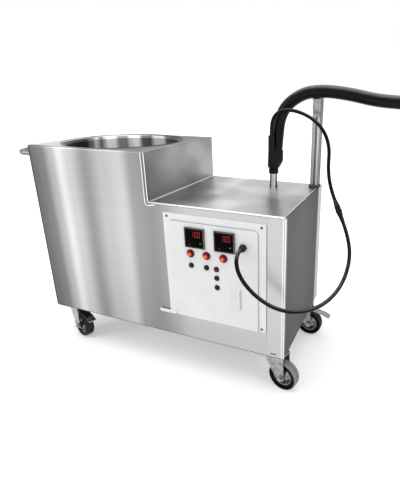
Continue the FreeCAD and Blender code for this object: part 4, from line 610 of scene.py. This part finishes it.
# The same sheet on the back and the left: a calm satin grey, with a lighter painted reflection
# across the middle
STEEL_WRAP = brushed_metal(
    "brushed_steel_wrap", WRAP_SHADES, "X", (0, CASING_LENGTH), 0.34, "level",
)
# The deck, with wear from handling: pale and a little cloudy, with painted reflections, and darker
# with painted shade where it meets the step
STEEL_DECK = brushed_metal(
    "brushed_steel_deck", DECK_SHADES, "X", (TANK_END, CASING_LENGTH), 0.34, "y", clouds=0.5,
)
# Electropolished stainless: bright and dark upright streaks of painted reflection inside the pot,
# satin on its bottom
STEEL_POT = pot_steel("electropolished_pot")
# Polished stainless pipe: a clean grey shine
STEEL_TUBE = polished_steel("polished_steel_tube", "#8f8f8a", "#b8b8b2", 0.14)
# The same pipe, darker, with stronger patches
HANDLE_TUBE = polished_steel("polished_handle_tube", "#4c4c4c", "#8c8c8b", 0.12)
# Electropolished riser over the hot line: a painted highlight in front, painted shade and olive at
# the sides
RISER = riser_steel("electropolished_riser")
# Ground and polished weld, and painted highlights: a white line along the sheet's folds
WELD_AND_HIGHLIGHT_BEAD = polished_steel("weld_and_painted_highlight_bead", "#f0f0f0", "#ffffff", 0.3)
# Bright zinc over pressed steel: a cloudy silver
ZINC = plated_steel("bright_zinc_plate", "#7e7e7c", "#b8b8b6", 0.26, 14)
# The same zinc on the drawn hub: strong dark and light patches round the cone
HUB_ZINC = plated_steel("pressed_zinc_hub", "#4a4a4a", "#a6a6a5", 0.22, 12)
# Weathered zinc: a flat bluish grey
ZINC_DULL = plated_steel("dull_zinc_plate", "#85868a", "#aeafae", 0.42)
# Blackened screw heads: near black with a metal glint
SCREW_ZINC = plated_steel("blackened_screw", "#36373a", "#5a5b5e", 0.3, 3)
# Plated steel in dark brown: a brown plate on one brake
PEDAL_DARK = plated_steel("dark_brown_brake_plate", "#3a3528", "#6a624c", 0.4, 6)
# Grey rubber foot of the pole: matt and mid grey
GREY_RUBBER = moulded("grey_rubber", "#3c3d3e", "#505152", 0.6, shine=0.2)
# Cast iron under blue-grey paint: a rough satin skin
CAST_IRON = moulded("painted_cast_iron", "#3b4147", "#4a5158", 0.5, 2.2, 0.2)
# Powder-coated steel of the control plate and the latch: a clean satin white
WHITE_COAT = powder_coat("white_powder_coat", "#ededed", "#f5f5f5")
# Laminated overlay: a slightly smoother and cooler white
OVERLAY_COAT = powder_coat("white_overlay", "#eaeaeb", "#f2f2f3", 0.36)
# Moulded black rubber of the boot: deep black with a dull gloss
RUBBER = moulded("moulded_rubber", "#030303", "#0a0a0a", 0.42, 1.4, 0.06, shine=0.2)
# Solid rubber tyre: black walls and a charcoal tread
TYRE_RUBBER = rolled_rubber("tyre_rubber", "#262626", "#434342")
# The same tyre with a painted highlight: black walls and a pale tread, as lit from the right
TYRE_LIT_TREAD = rolled_rubber("lit_tread_tyre_rubber", "#787877", "#a4a4a2")
# Smooth hose cover: black, with a painted grey sheen along its upper side
HOSE_COVER = cord_cover("hose_cover", "#020203", "#67676b", 0.34, 0.2)
# PVC cable jacket: black, with a painted highlight as a thin bright line on top
CABLE_JACKET = cord_cover("pvc_cable_jacket", "#020202", "#505052", 0.2, 0.14)
# Nylon of glands, buttons and cases: glossy black
BLACK_PLASTIC = moulded("black_nylon", "#020202", "#060606", 0.16, shine=0.3)
# ABS blank cover: a soft white, greyer than the plate
WHITE_PLASTIC = moulded("white_abs", "#e6e6e6", "#efefef", 0.34)
# Tinted polycarbonate of the start button: a green that reads almost black
GREEN_CAP = moulded("green_cap", "#08130e", "#0c1c14", 0.22, shine=0.3)
# Polycarbonate of the stop button: a dark red
RED_CAP = moulded("red_cap", "#4a0d0c", "#64120e", 0.22, shine=0.3)
# Smoked display window: a smooth black face
WINDOW = moulded("tinted_window", "#010101", "#030202", 0.12, 3.0, 0.004, shine=0.03)
# Lit pilot lamp: an orange heart in a red lens
LENS = lit_lens("lit_red_lens")
# Dark nickel ring, with a painted red glow from its lamp: a brown rim
BEZEL = plated_steel("dark_nickel_bezel", "#241612", "#4a2c26", 0.25)
# Satin nickel frame of a display: a thin grey outline
RIM = plated_steel("satin_nickel_rim", "#4c4c4c", "#7c7c7d", 0.3)
# Drawn and anodised aluminium section: long upright stripes of painted reflection, light and dark,
# with a dark stripe of painted shade along its slot
ALUMINIUM = brushed_metal("drawn_aluminium", POLE_SHADES, "X", (916, 946), 0.36, "z")
# Foil-faced felt of the lagging: a rough warm grey
WOOL = moulded("foil_faced_felt", "#a9a497", "#c3beb0", 0.7, 3.0, 0.3)
# Heater band, tinted by heat: a dull straw-coloured metal
HEAT_TINT = plated_steel("heat_tinted_band", "#7d746a", "#a79c8e", 0.4)
# Shaded edge of a white plate: a fine grey line
LINE_GREY = moulded("shaded_edge", "#7c7e80", "#94969a", 0.5)
# Dark line along the seams: painted shade along the foot and down the left fold, and a dark line
# between the welds of the step
LINE_DARK = moulded("dark_and_painted_shade_line", "#3a3a3a", "#505050", 0.5, shine=0.2)
# Lit bars of the displays: red numbers and a green mark
DIGIT_RED = lit_bar("lit_red_segment", "#b01410", 0.75)
MARK_GREEN = lit_bar("lit_green_mark", "#2c9426", 0.6)

NODE_FINISH = {
    "front_sheet": STEEL_FRONT, "right_sheet": STEEL_SIDE, "rear_wrap": STEEL_WRAP,
    "deck_sheet": STEEL_DECK, "base_frame": STEEL_WRAP, "bottom_pan": STEEL_WRAP,
    "service_cover": STEEL_WRAP, "pot": STEEL_POT, "heater_band": HEAT_TINT, "pot_jacket": WOOL,
    "suction_pipe": STEEL_TUBE, "pump": CAST_IRON, "shaft_coupling": ALUMINIUM,
    "pump_motor": CAST_IRON, "pump_mount": ZINC_DULL, "pressure_pipe": STEEL_TUBE,
    "riser_pipe": RISER, "hose_boot": RUBBER, "hose_nozzle": STEEL_TUBE,
    "cable_glands": BLACK_PLASTIC, "inline_connector": BLACK_PLASTIC, "pole": ALUMINIUM,
    "pole_grommet": GREY_RUBBER, "hose_cradle": ZINC, "cradle_bolts": ZINC,
    "push_handle": HANDLE_TUBE, "panel_plate": WHITE_COAT, "panel_overlay": OVERLAY_COAT,
    "controllers": BLACK_PLASTIC, "controller_windows": WINDOW, "lamp_bezels": BEZEL,
    "lamp_lenses": LENS, "button_bezels": BLACK_PLASTIC, "button_black": BLACK_PLASTIC,
    "button_green": GREEN_CAP, "button_red": RED_CAP, "fuse_cap_upper": BLACK_PLASTIC,
    "fuse_cap_lower": BLACK_PLASTIC, "cover_plate": WHITE_PLASTIC, "panel_latch": WHITE_COAT,
    "panel_screws": SCREW_ZINC, "caster_plates": ZINC_DULL, "brake_pedal_front_left": PEDAL_DARK,
    "brake_pedal_back_right": ZINC_DULL,
}
for corner in CASTERS:
    NODE_FINISH["fork_" + corner] = ZINC
    NODE_FINISH["tyre_" + corner] = TYRE_RUBBER
    NODE_FINISH["wheel_hub_" + corner] = HUB_ZINC
# Only the front right tyre has the painted highlight on its tread
NODE_FINISH["tyre_front_right"] = TYRE_LIT_TREAD

for name, finish in NODE_FINISH.items():
    nodes[name].data.materials.clear()
    nodes[name].data.materials.append(finish)
hose.data.materials.append(HOSE_COVER)
cable_lower.data.materials.append(CABLE_JACKET)
cable_upper.data.materials.append(CABLE_JACKET)


# Small pieces, shaped in edit mode from a block or a ring
def block(low, high, bevel=0.0, segments=2):
    """A block between two corners in millimetres, with all its edges rounded by the bevel."""
    bpy.ops.object.select_all(action="DESELECT")
    a, b = at(*low), at(*high)
    bpy.ops.mesh.primitive_cube_add(size=1, location=(a + b) / 2, scale=b - a)
    made = bpy.context.object
    bpy.ops.object.transform_apply(location=True, rotation=True, scale=True)
    if bevel:
        bpy.ops.object.mode_set(mode="EDIT")
        bpy.ops.mesh.select_all(action="SELECT")
        bpy.ops.mesh.bevel(offset=bevel * MM, segments=segments, affect="EDGES")
        bpy.ops.object.mode_set(mode="OBJECT")
    return made


def turned(profile, sides):
    """A closed shape turned about the frame's Z axis, from radii and heights in millimetres."""
    bpy.ops.object.select_all(action="DESELECT")
    radius, height = profile[0]
    bpy.ops.mesh.primitive_circle_add(
        vertices=sides, radius=radius * MM, fill_type="NGON", location=(0, 0, height * MM),
    )
    made = bpy.context.object
    bpy.ops.object.transform_apply(location=True, rotation=True, scale=True)
    bpy.ops.object.mode_set(mode="EDIT")
    bpy.ops.mesh.select_all(action="SELECT")
    for next_radius, next_height in profile[1:]:
        rise = (next_height - height) * MM
        bpy.ops.mesh.extrude_region_move(TRANSFORM_OT_translate={"value": (0, 0, rise)})
        share = next_radius / radius
        bpy.ops.transform.resize(value=(share, share, 1))
        radius, height = next_radius, next_height
    bpy.ops.mesh.select_all(action="SELECT")
    bpy.ops.mesh.remove_doubles(threshold=0.000001)
    bpy.ops.mesh.normals_make_consistent(inside=False)
    bpy.ops.object.mode_set(mode="OBJECT")
    return made


def bead(places, radius):
    """A round bead through places in millimetres; two places give a straight run."""
    points = [at(*place) for place in places]
    if len(points) == 2:
        start, end = points
        points = [start, start.lerp(end, 0.1), start.lerp(end, 0.9), end]
    made = round_line("bead", points, radius * MM, 6, 3)
    bpy.ops.object.select_all(action="DESELECT")
    made.select_set(True)
    bpy.context.view_layer.objects.active = made
    bpy.ops.object.convert(target="MESH")
    return made


def copies(piece, count):
    """The piece and its copies, each with its own mesh, count of them in all."""
    made = [piece]
    while len(made) < count:
        copy = piece.copy()
        copy.data = piece.data.copy()
        bpy.context.scene.collection.objects.link(copy)
        made.append(copy)
    return made


def set_down(piece, place, turn=(0, 0, 0)):
    """Turns and moves a piece, and keeps its place in its mesh."""
    bpy.ops.object.select_all(action="DESELECT")
    piece.select_set(True)
    bpy.context.view_layer.objects.active = piece
    piece.rotation_euler = [math.radians(angle) for angle in turn]
    piece.location = place
    bpy.ops.object.transform_apply(location=True, rotation=True, scale=True)
    return piece


def repeated(piece, steps):
    """The piece at each of the steps, counted in millimetres from where it was shaped."""
    return [
        set_down(each, Vector(step) * MM) for each, step in zip(copies(piece, len(steps)), steps)
    ]


def finished(name, pieces, finish, body="cart", smooth=35):
    """Joins the pieces, names the whole, gives it its finish and lets it ride on a body."""
    bpy.ops.object.select_all(action="DESELECT")
    for piece in pieces:
        piece.select_set(True)
    whole = pieces[0]
    bpy.context.view_layer.objects.active = whole
    if len(pieces) > 1:
        bpy.ops.object.join()
    bpy.ops.object.shade_smooth_by_angle(angle=math.radians(smooth))
    whole.name = name
    whole.data.materials.clear()
    whole.data.materials.append(finish)
    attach(whole, body)
    return whole


# Number displays: everything is shaped on the left one, and copied to the right one
DISPLAY_STEP = 102.9
DISPLAY_X = 654.05
DISPLAY_Z = 521
FIGURE_X = DISPLAY_X - 10.5
FIGURE_Z = DISPLAY_Z + 2.8
FIGURE_STEP = 11.5
FIGURE_WIDTH = 6.5
LIT_FACE = -8.1
LIT_BACK = -7.3


def on_both_displays(steps):
    """The steps of a piece of the left display, and the same steps on the right one."""
    return [(x + shift, y, z) for shift in (0, DISPLAY_STEP) for x, y, z in steps]


def add_numbers():
    """The number 10.0 in lit bars, and three small lit dashes at the lower left."""
    level = block(
        (FIGURE_X + 0.3, LIT_FACE, FIGURE_Z), (FIGURE_X + 7.7, LIT_BACK, FIGURE_Z + 0.9), 0.25, 1,
    )
    upright = block(
        (FIGURE_X + 0.3, LIT_FACE, FIGURE_Z), (FIGURE_X + 1.2, LIT_BACK, FIGURE_Z + 8.9), 0.25, 1,
    )
    point = block(
        (DISPLAY_X + 10.3, LIT_FACE, FIGURE_Z), (DISPLAY_X + 11.7, LIT_BACK, FIGURE_Z + 1.4),
        0.25, 1,
    )
    dash = block((DISPLAY_X - 22, -7.8, 497.5), (DISPLAY_X - 20.6, LIT_BACK, 498.9), 0.2, 1)
    noughts = (FIGURE_STEP, 2 * FIGURE_STEP)
    lefts = [*noughts, FIGURE_WIDTH, *(nought + FIGURE_WIDTH for nought in noughts)]
    bars = repeated(upright, on_both_displays([(x, 0, z) for x in lefts for z in (0, 9.5)]))
    bars += repeated(level, on_both_displays([(x, 0, z) for x in noughts for z in (0, 17.5)]))
    bars += repeated(point, on_both_displays([(0, 0, 0)]))
    bars += repeated(dash, on_both_displays([(x, 0, 0) for x in (0, 4, 8)]))
    finished("display_numbers", bars, DIGIT_RED)


def add_display_marks():
    """A small lit mark at the lower right of each display."""
    mark = block((DISPLAY_X + 18.5, -8.0, 504), (DISPLAY_X + 22, LIT_BACK, 507.5), 0.6, 2)
    marks = repeated(mark, on_both_displays([(0, 0, 0)]))
    finished("display_marks", marks, MARK_GREEN)


def add_display_rims():
    """Two upright and two level bars make the frame of each display."""
    left, foot = DISPLAY_X - 34.5, DISPLAY_Z - 33
    upright = block((left, -9.6, foot), (left + 1.9, -8.6, foot + 66), 0.4, 2)
    level = block((left, -9.6, foot), (left + 69, -8.6, foot + 1.9), 0.4, 2)
    rims = repeated(upright, on_both_displays([(0, 0, 0), (67.1, 0, 0)]))
    rims += repeated(level, on_both_displays([(0, 0, 0), (0, 0, 64.1)]))
    finished("display_rims", rims, RIM)


def add_welds_and_fold_highlights():
    """Polished welds and painted highlights of the folds: outer and inner line down the step, and
    the edges of deck and flange.
    """
    beads = [
        bead([
            (484.6, 1.4, TANK_TOP + 0.5), (485.2, 1.4, 760), (485.2, 1.4, 650), (485.2, 1.4, 634),
            (486, 1.4, DECK_EDGE), (502, 1.4, DECK_EDGE), (530, 1.4, DECK_EDGE),
            (900, 1.4, DECK_EDGE), (941, 1.4, DECK_EDGE),
        ], 1.25),
        bead([
            (474, 0.9, TANK_TOP + 0.5), (474.6, 0.9, 760), (474.6, 0.9, 650), (474.6, 0.9, 628),
            (475.5, 0.9, 609), (486, 0.9, 607.4), (500, 0.9, 609), (512, 0.9, 612),
        ], 1.5),
        bead([(500, 8.6, 617), (941, 8.6, 617)], 1.1),
        bead([(941.5, 4, 616.8), (941.5, 388, 616.8)], 1.4),
        bead([(486.4, 12, 618), (486.4, 440, 618)], 1.3),
    ]
    # Painted highlights down both sides of the front right fold
    fold = bead([(941.2, 0.7, CASING_FOOT), (941.2, 0.7, 614)], 1.1)
    beads += repeated(fold, [(0, 0, 0), (7.2, 0, 0)])
    finished("welds_and_fold_highlights", beads, WELD_AND_HIGHLIGHT_BEAD, smooth=60)


def add_sheet_edges():
    """Dark lines: one between the welds of the step, and painted shade down the left fold and along
    the foot.
    """
    edges = [
        bead([(480, 0.7, 770), (480, 0.7, 628)], 1.2),
        bead([(1.4, 1.4, CASING_FOOT), (1.4, 1.4, TANK_TOP)], 2.2),
        bead([(4.2, 1.0, CASING_FOOT), (4.2, 1.0, TANK_TOP)], 1.5),
        bead([(2, 0.6, 148), (948, 0.6, 148)], 1.1),
        bead([(949.4, 2, 148), (949.4, 443, 148)], 1.1),
    ]
    finished("sheet_edges", edges, LINE_DARK, smooth=60)


def add_panel_edges():
    """Fine grey lines of painted shade along the edges of the control plate, its overlay and the
    blank cover.
    """
    rims = [
        bead([(542, -0.8, 231.2), (890, -0.8, 231.2)], 0.9),
        bead([(891.3, -0.8, 233), (891.3, -0.8, 591)], 0.9),
    ]
    finished("plate_rims", rims, LINE_GREY, smooth=60)
    line = bead([
        (567, -3.9, 570.2), (600, -3.9, 570.2), (840, -3.9, 570.2), (866, -3.9, 570.2),
        (866.2, -3.9, 545), (866.2, -3.9, 300), (866.2, -3.9, 232.5),
    ], 0.75)
    finished("overlay_line", [line], LINE_GREY)
    edges = [
        bead([(806.2, -7.4, 368.5), (806.2, -7.4, 300.5)], 0.7),
        bead([(774, -7.4, 299.2), (804.5, -7.4, 299.2)], 0.7),
    ]
    finished("cover_edges", edges, LINE_GREY)


def add_screw_slots():
    """One slot is shaped for the control plate's screws, and one for those of the rear cover: black
    bars of painted shade in the slots.
    """
    front = block((874.4, -4.1, 580.95), (879.6, -3.7, 582.05), 0.15, 1)
    rear = block((568.4, 448.2, 240.45), (573.6, 448.5, 241.55), 0.15, 1)
    slots = repeated(front, [(0, 0, 0), (-322, 0, 0), (0, 0, -339)])
    slots += repeated(rear, [(x, 0, z) for x in (0, 278) for z in (0, 298)])
    finished("screw_slots", slots, BLACK_PLASTIC)


def add_louvre_hoods():
    """One hood is shaped over the first slot of the rear cover, and the rest are its copies."""
    hood = block((603.5, 444.8, 496.5), (696.5, 451.5, 505.5))
    bpy.ops.object.mode_set(mode="EDIT")
    bpy.ops.mesh.select_mode(type="VERT")
    bpy.ops.mesh.select_all(action="DESELECT")
    bpy.ops.object.mode_set(mode="OBJECT")
    middle = at(650, 448, 501)
    for vertex in hood.data.vertices:
        vertex.select = vertex.co.y > middle.y and vertex.co.z > middle.z
    bpy.ops.object.mode_set(mode="EDIT")
    bpy.ops.transform.translate(value=(0, -4.6 * MM, 0))
    bpy.ops.mesh.select_all(action="SELECT")
    bpy.ops.mesh.bevel(offset=1.6 * MM, segments=3, affect="EDGES")
    bpy.ops.object.mode_set(mode="OBJECT")
    hoods = repeated(hood, [(column, 0, -16 * row) for column in (0, 120) for row in range(5)])
    finished("louvre_hoods", hoods, STEEL_WRAP, smooth=50)


def add_axle_nuts():
    """A washer and a nut are turned once, and their copies sit on both ends of each axle."""
    washer = turned([(9.6, 28.6), (9.6, 29.7)], 28)
    nut = turned([(7.4, 29.7), (7.4, 33.6), (6.4, 34.4), (3.2, 36.0)], 6)
    washers, nuts = (iter(copies(part, 2 * len(CASTERS))) for part in (washer, nut))
    for corner, (x, y, swing) in CASTERS.items():
        ends = [
            set_down(next(parts), axle_centre(corner), (side, 0, swing))
            for side in (90, -90) for parts in (washers, nuts)
        ]
        finished("axle_nuts_" + corner, ends, STEEL_TUBE, "caster_" + corner, 25)


def add_pedal_lips():
    """A rolled lip and a grip rib are shaped once about the swivel, and copied to both pedals."""
    lips = iter(copies(block((112.2, -14.2, 91.9), (116.8, 14.2, 96.5), 1.38, 3), 2))
    ribs = iter(copies(block((95.1, -14.2, 101.7), (96.9, 14.2, 103.5), 0.54, 3), 6))
    for corner in ("front_left", "back_right"):
        x, y, swing = CASTERS[corner]
        bars = [set_down(next(lips), -CART_CORNER)]
        for reach, drop in ((0, 0), (5, 2.0), (10, 4.1)):
            bars.append(set_down(next(ribs), Vector((reach, 0, -drop)) * MM - CART_CORNER))
        for bar in bars:
            set_down(bar, at(x, y, 0), (0, 0, swing))
        finished("pedal_lip_" + corner, bars, ZINC, "pedal_" + corner, 40)


def add_boot():
    """Moulded boot: the solid's form with its joints softened, and four ribs on its lower ring."""
    bpy.ops.object.select_all(action="DESELECT")
    source = nodes["hose_boot"]
    boot = source.copy()
    boot.data = source.data.copy()
    bpy.context.scene.collection.objects.link(boot)
    boot.select_set(True)
    bpy.context.view_layer.objects.active = boot
    bpy.ops.object.mode_set(mode="EDIT")
    bpy.ops.mesh.select_all(action="SELECT")
    bpy.ops.mesh.remove_doubles(threshold=0.00001)
    bpy.ops.object.mode_set(mode="OBJECT")
    for kind, settings in (
        ("REMESH", {"mode": "VOXEL", "voxel_size": 0.0014}),
        ("SMOOTH", {"factor": 0.6, "iterations": 9}),
    ):
        modifier = boot.modifiers.new(kind.lower(), kind)
        for key, value in settings.items():
            setattr(modifier, key, value)
        bpy.ops.object.modifier_apply(modifier=modifier.name)
    rib = set_down(
        turned([(17.0, 0), (18.2, 0.7), (18.2, 2.2), (17.0, 2.9)], 40), at(*RISER_AXIS[:2], 667.5),
    )
    ribs = repeated(rib, [(0, 0, 5 * step) for step in range(4)])
    whole = finished("moulded_boot", [boot, *ribs], RUBBER, smooth=50)
    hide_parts("hose_boot")


add_numbers()
add_display_marks()
add_display_rims()
add_welds_and_fold_highlights()
add_sheet_edges()
add_panel_edges()
add_screw_slots()
add_louvre_hoods()
add_axle_nuts()
add_pedal_lips()
add_boot()


# Floor, world and lamps
def add_floor():
    """A pale floor that keeps the shadow, and away from it glows for the camera and in metal; its
    weaker glow near the cart is a painted shade round it.
    """
    bpy.ops.object.select_all(action="DESELECT")
    bpy.ops.mesh.primitive_plane_add(size=40, location=(0, 0, 0))
    floor = bpy.context.object
    floor.name = "floor"
    material, tree, place = new_finish("studio_floor")
    diffuse = add(tree, "BsdfDiffuse", {"Color": linear("#fafafa")})
    away = add(tree, "VectorMath", {0: place}, operation="LENGTH")
    # Painted shade round the cart: the glow grows with the distance from it
    strength = add(tree, "MapRange", {
        "Value": away, "From Min": 0.45, "From Max": 1.7, "To Min": 0.3, "To Max": 0.75,
    })
    glow = add(tree, "Emission", {"Color": (1, 1, 1, 1), "Strength": strength})
    none = add(tree, "Emission", {"Color": (0, 0, 0, 1), "Strength": 0.0})
    rays = add(tree, "LightPath", {})
    seen = add(
        tree, "Math", {0: rays.outputs["Is Camera Ray"], 1: rays.outputs["Is Glossy Ray"]},
        operation="MAXIMUM",
    )
    lift = add(tree, "MixShader", {"Fac": seen, 1: none, 2: glow})
    add(tree, "OutputMaterial", {"Surface": add(tree, "AddShader", {0: diffuse, 1: lift})})
    floor.data.materials.append(material)


def add_world():
    """Soft light on the object, and plain white for the camera and in metal."""
    world = bpy.data.worlds.new("studio")
    bpy.context.scene.world = world
    world.use_nodes = True
    tree = world.node_tree
    tree.nodes.clear()
    rays = add(tree, "LightPath", {})
    soft = add(tree, "Background", {"Color": (1.0, 1.0, 1.0, 1.0), "Strength": 0.6})
    white = add(tree, "Background", {"Color": (1, 1, 1, 1), "Strength": 1.0})
    shiny = add(
        tree, "Math", {0: rays.outputs["Is Glossy Ray"], 1: rays.outputs["Is Transmission Ray"]},
        operation="MAXIMUM",
    )
    seen = add(tree, "Math", {0: rays.outputs["Is Camera Ray"], 1: shiny}, operation="MAXIMUM")
    mix = add(tree, "MixShader", {"Fac": seen, 1: soft, 2: white})
    add(tree, "OutputWorld", {"Surface": mix})


MIDDLE_OF_CART = Vector((0, 0, 0.4))


def add_soft_box(name, place, size, power):
    """A soft box that points at the middle of the cart."""
    data = bpy.data.lights.new(name, "AREA")
    data.shape = "RECTANGLE"
    data.size, data.size_y = size
    data.energy = power
    lamp = bpy.data.objects.new(name, data)
    lamp.location = place
    lamp.rotation_euler = (MIDDLE_OF_CART - Vector(place)).to_track_quat("-Z", "Y").to_euler()
    bpy.context.scene.collection.objects.link(lamp)


add_floor()
add_world()
add_soft_box("top_box", (0.0, -0.3, 2.6), (2.4, 2.0), 30)
add_soft_box("left_box", (-2.2, -1.8, 1.6), (0.9, 1.8), 16)
add_soft_box("right_box", (2.6, -0.9, 1.7), (0.9, 1.6), 10)
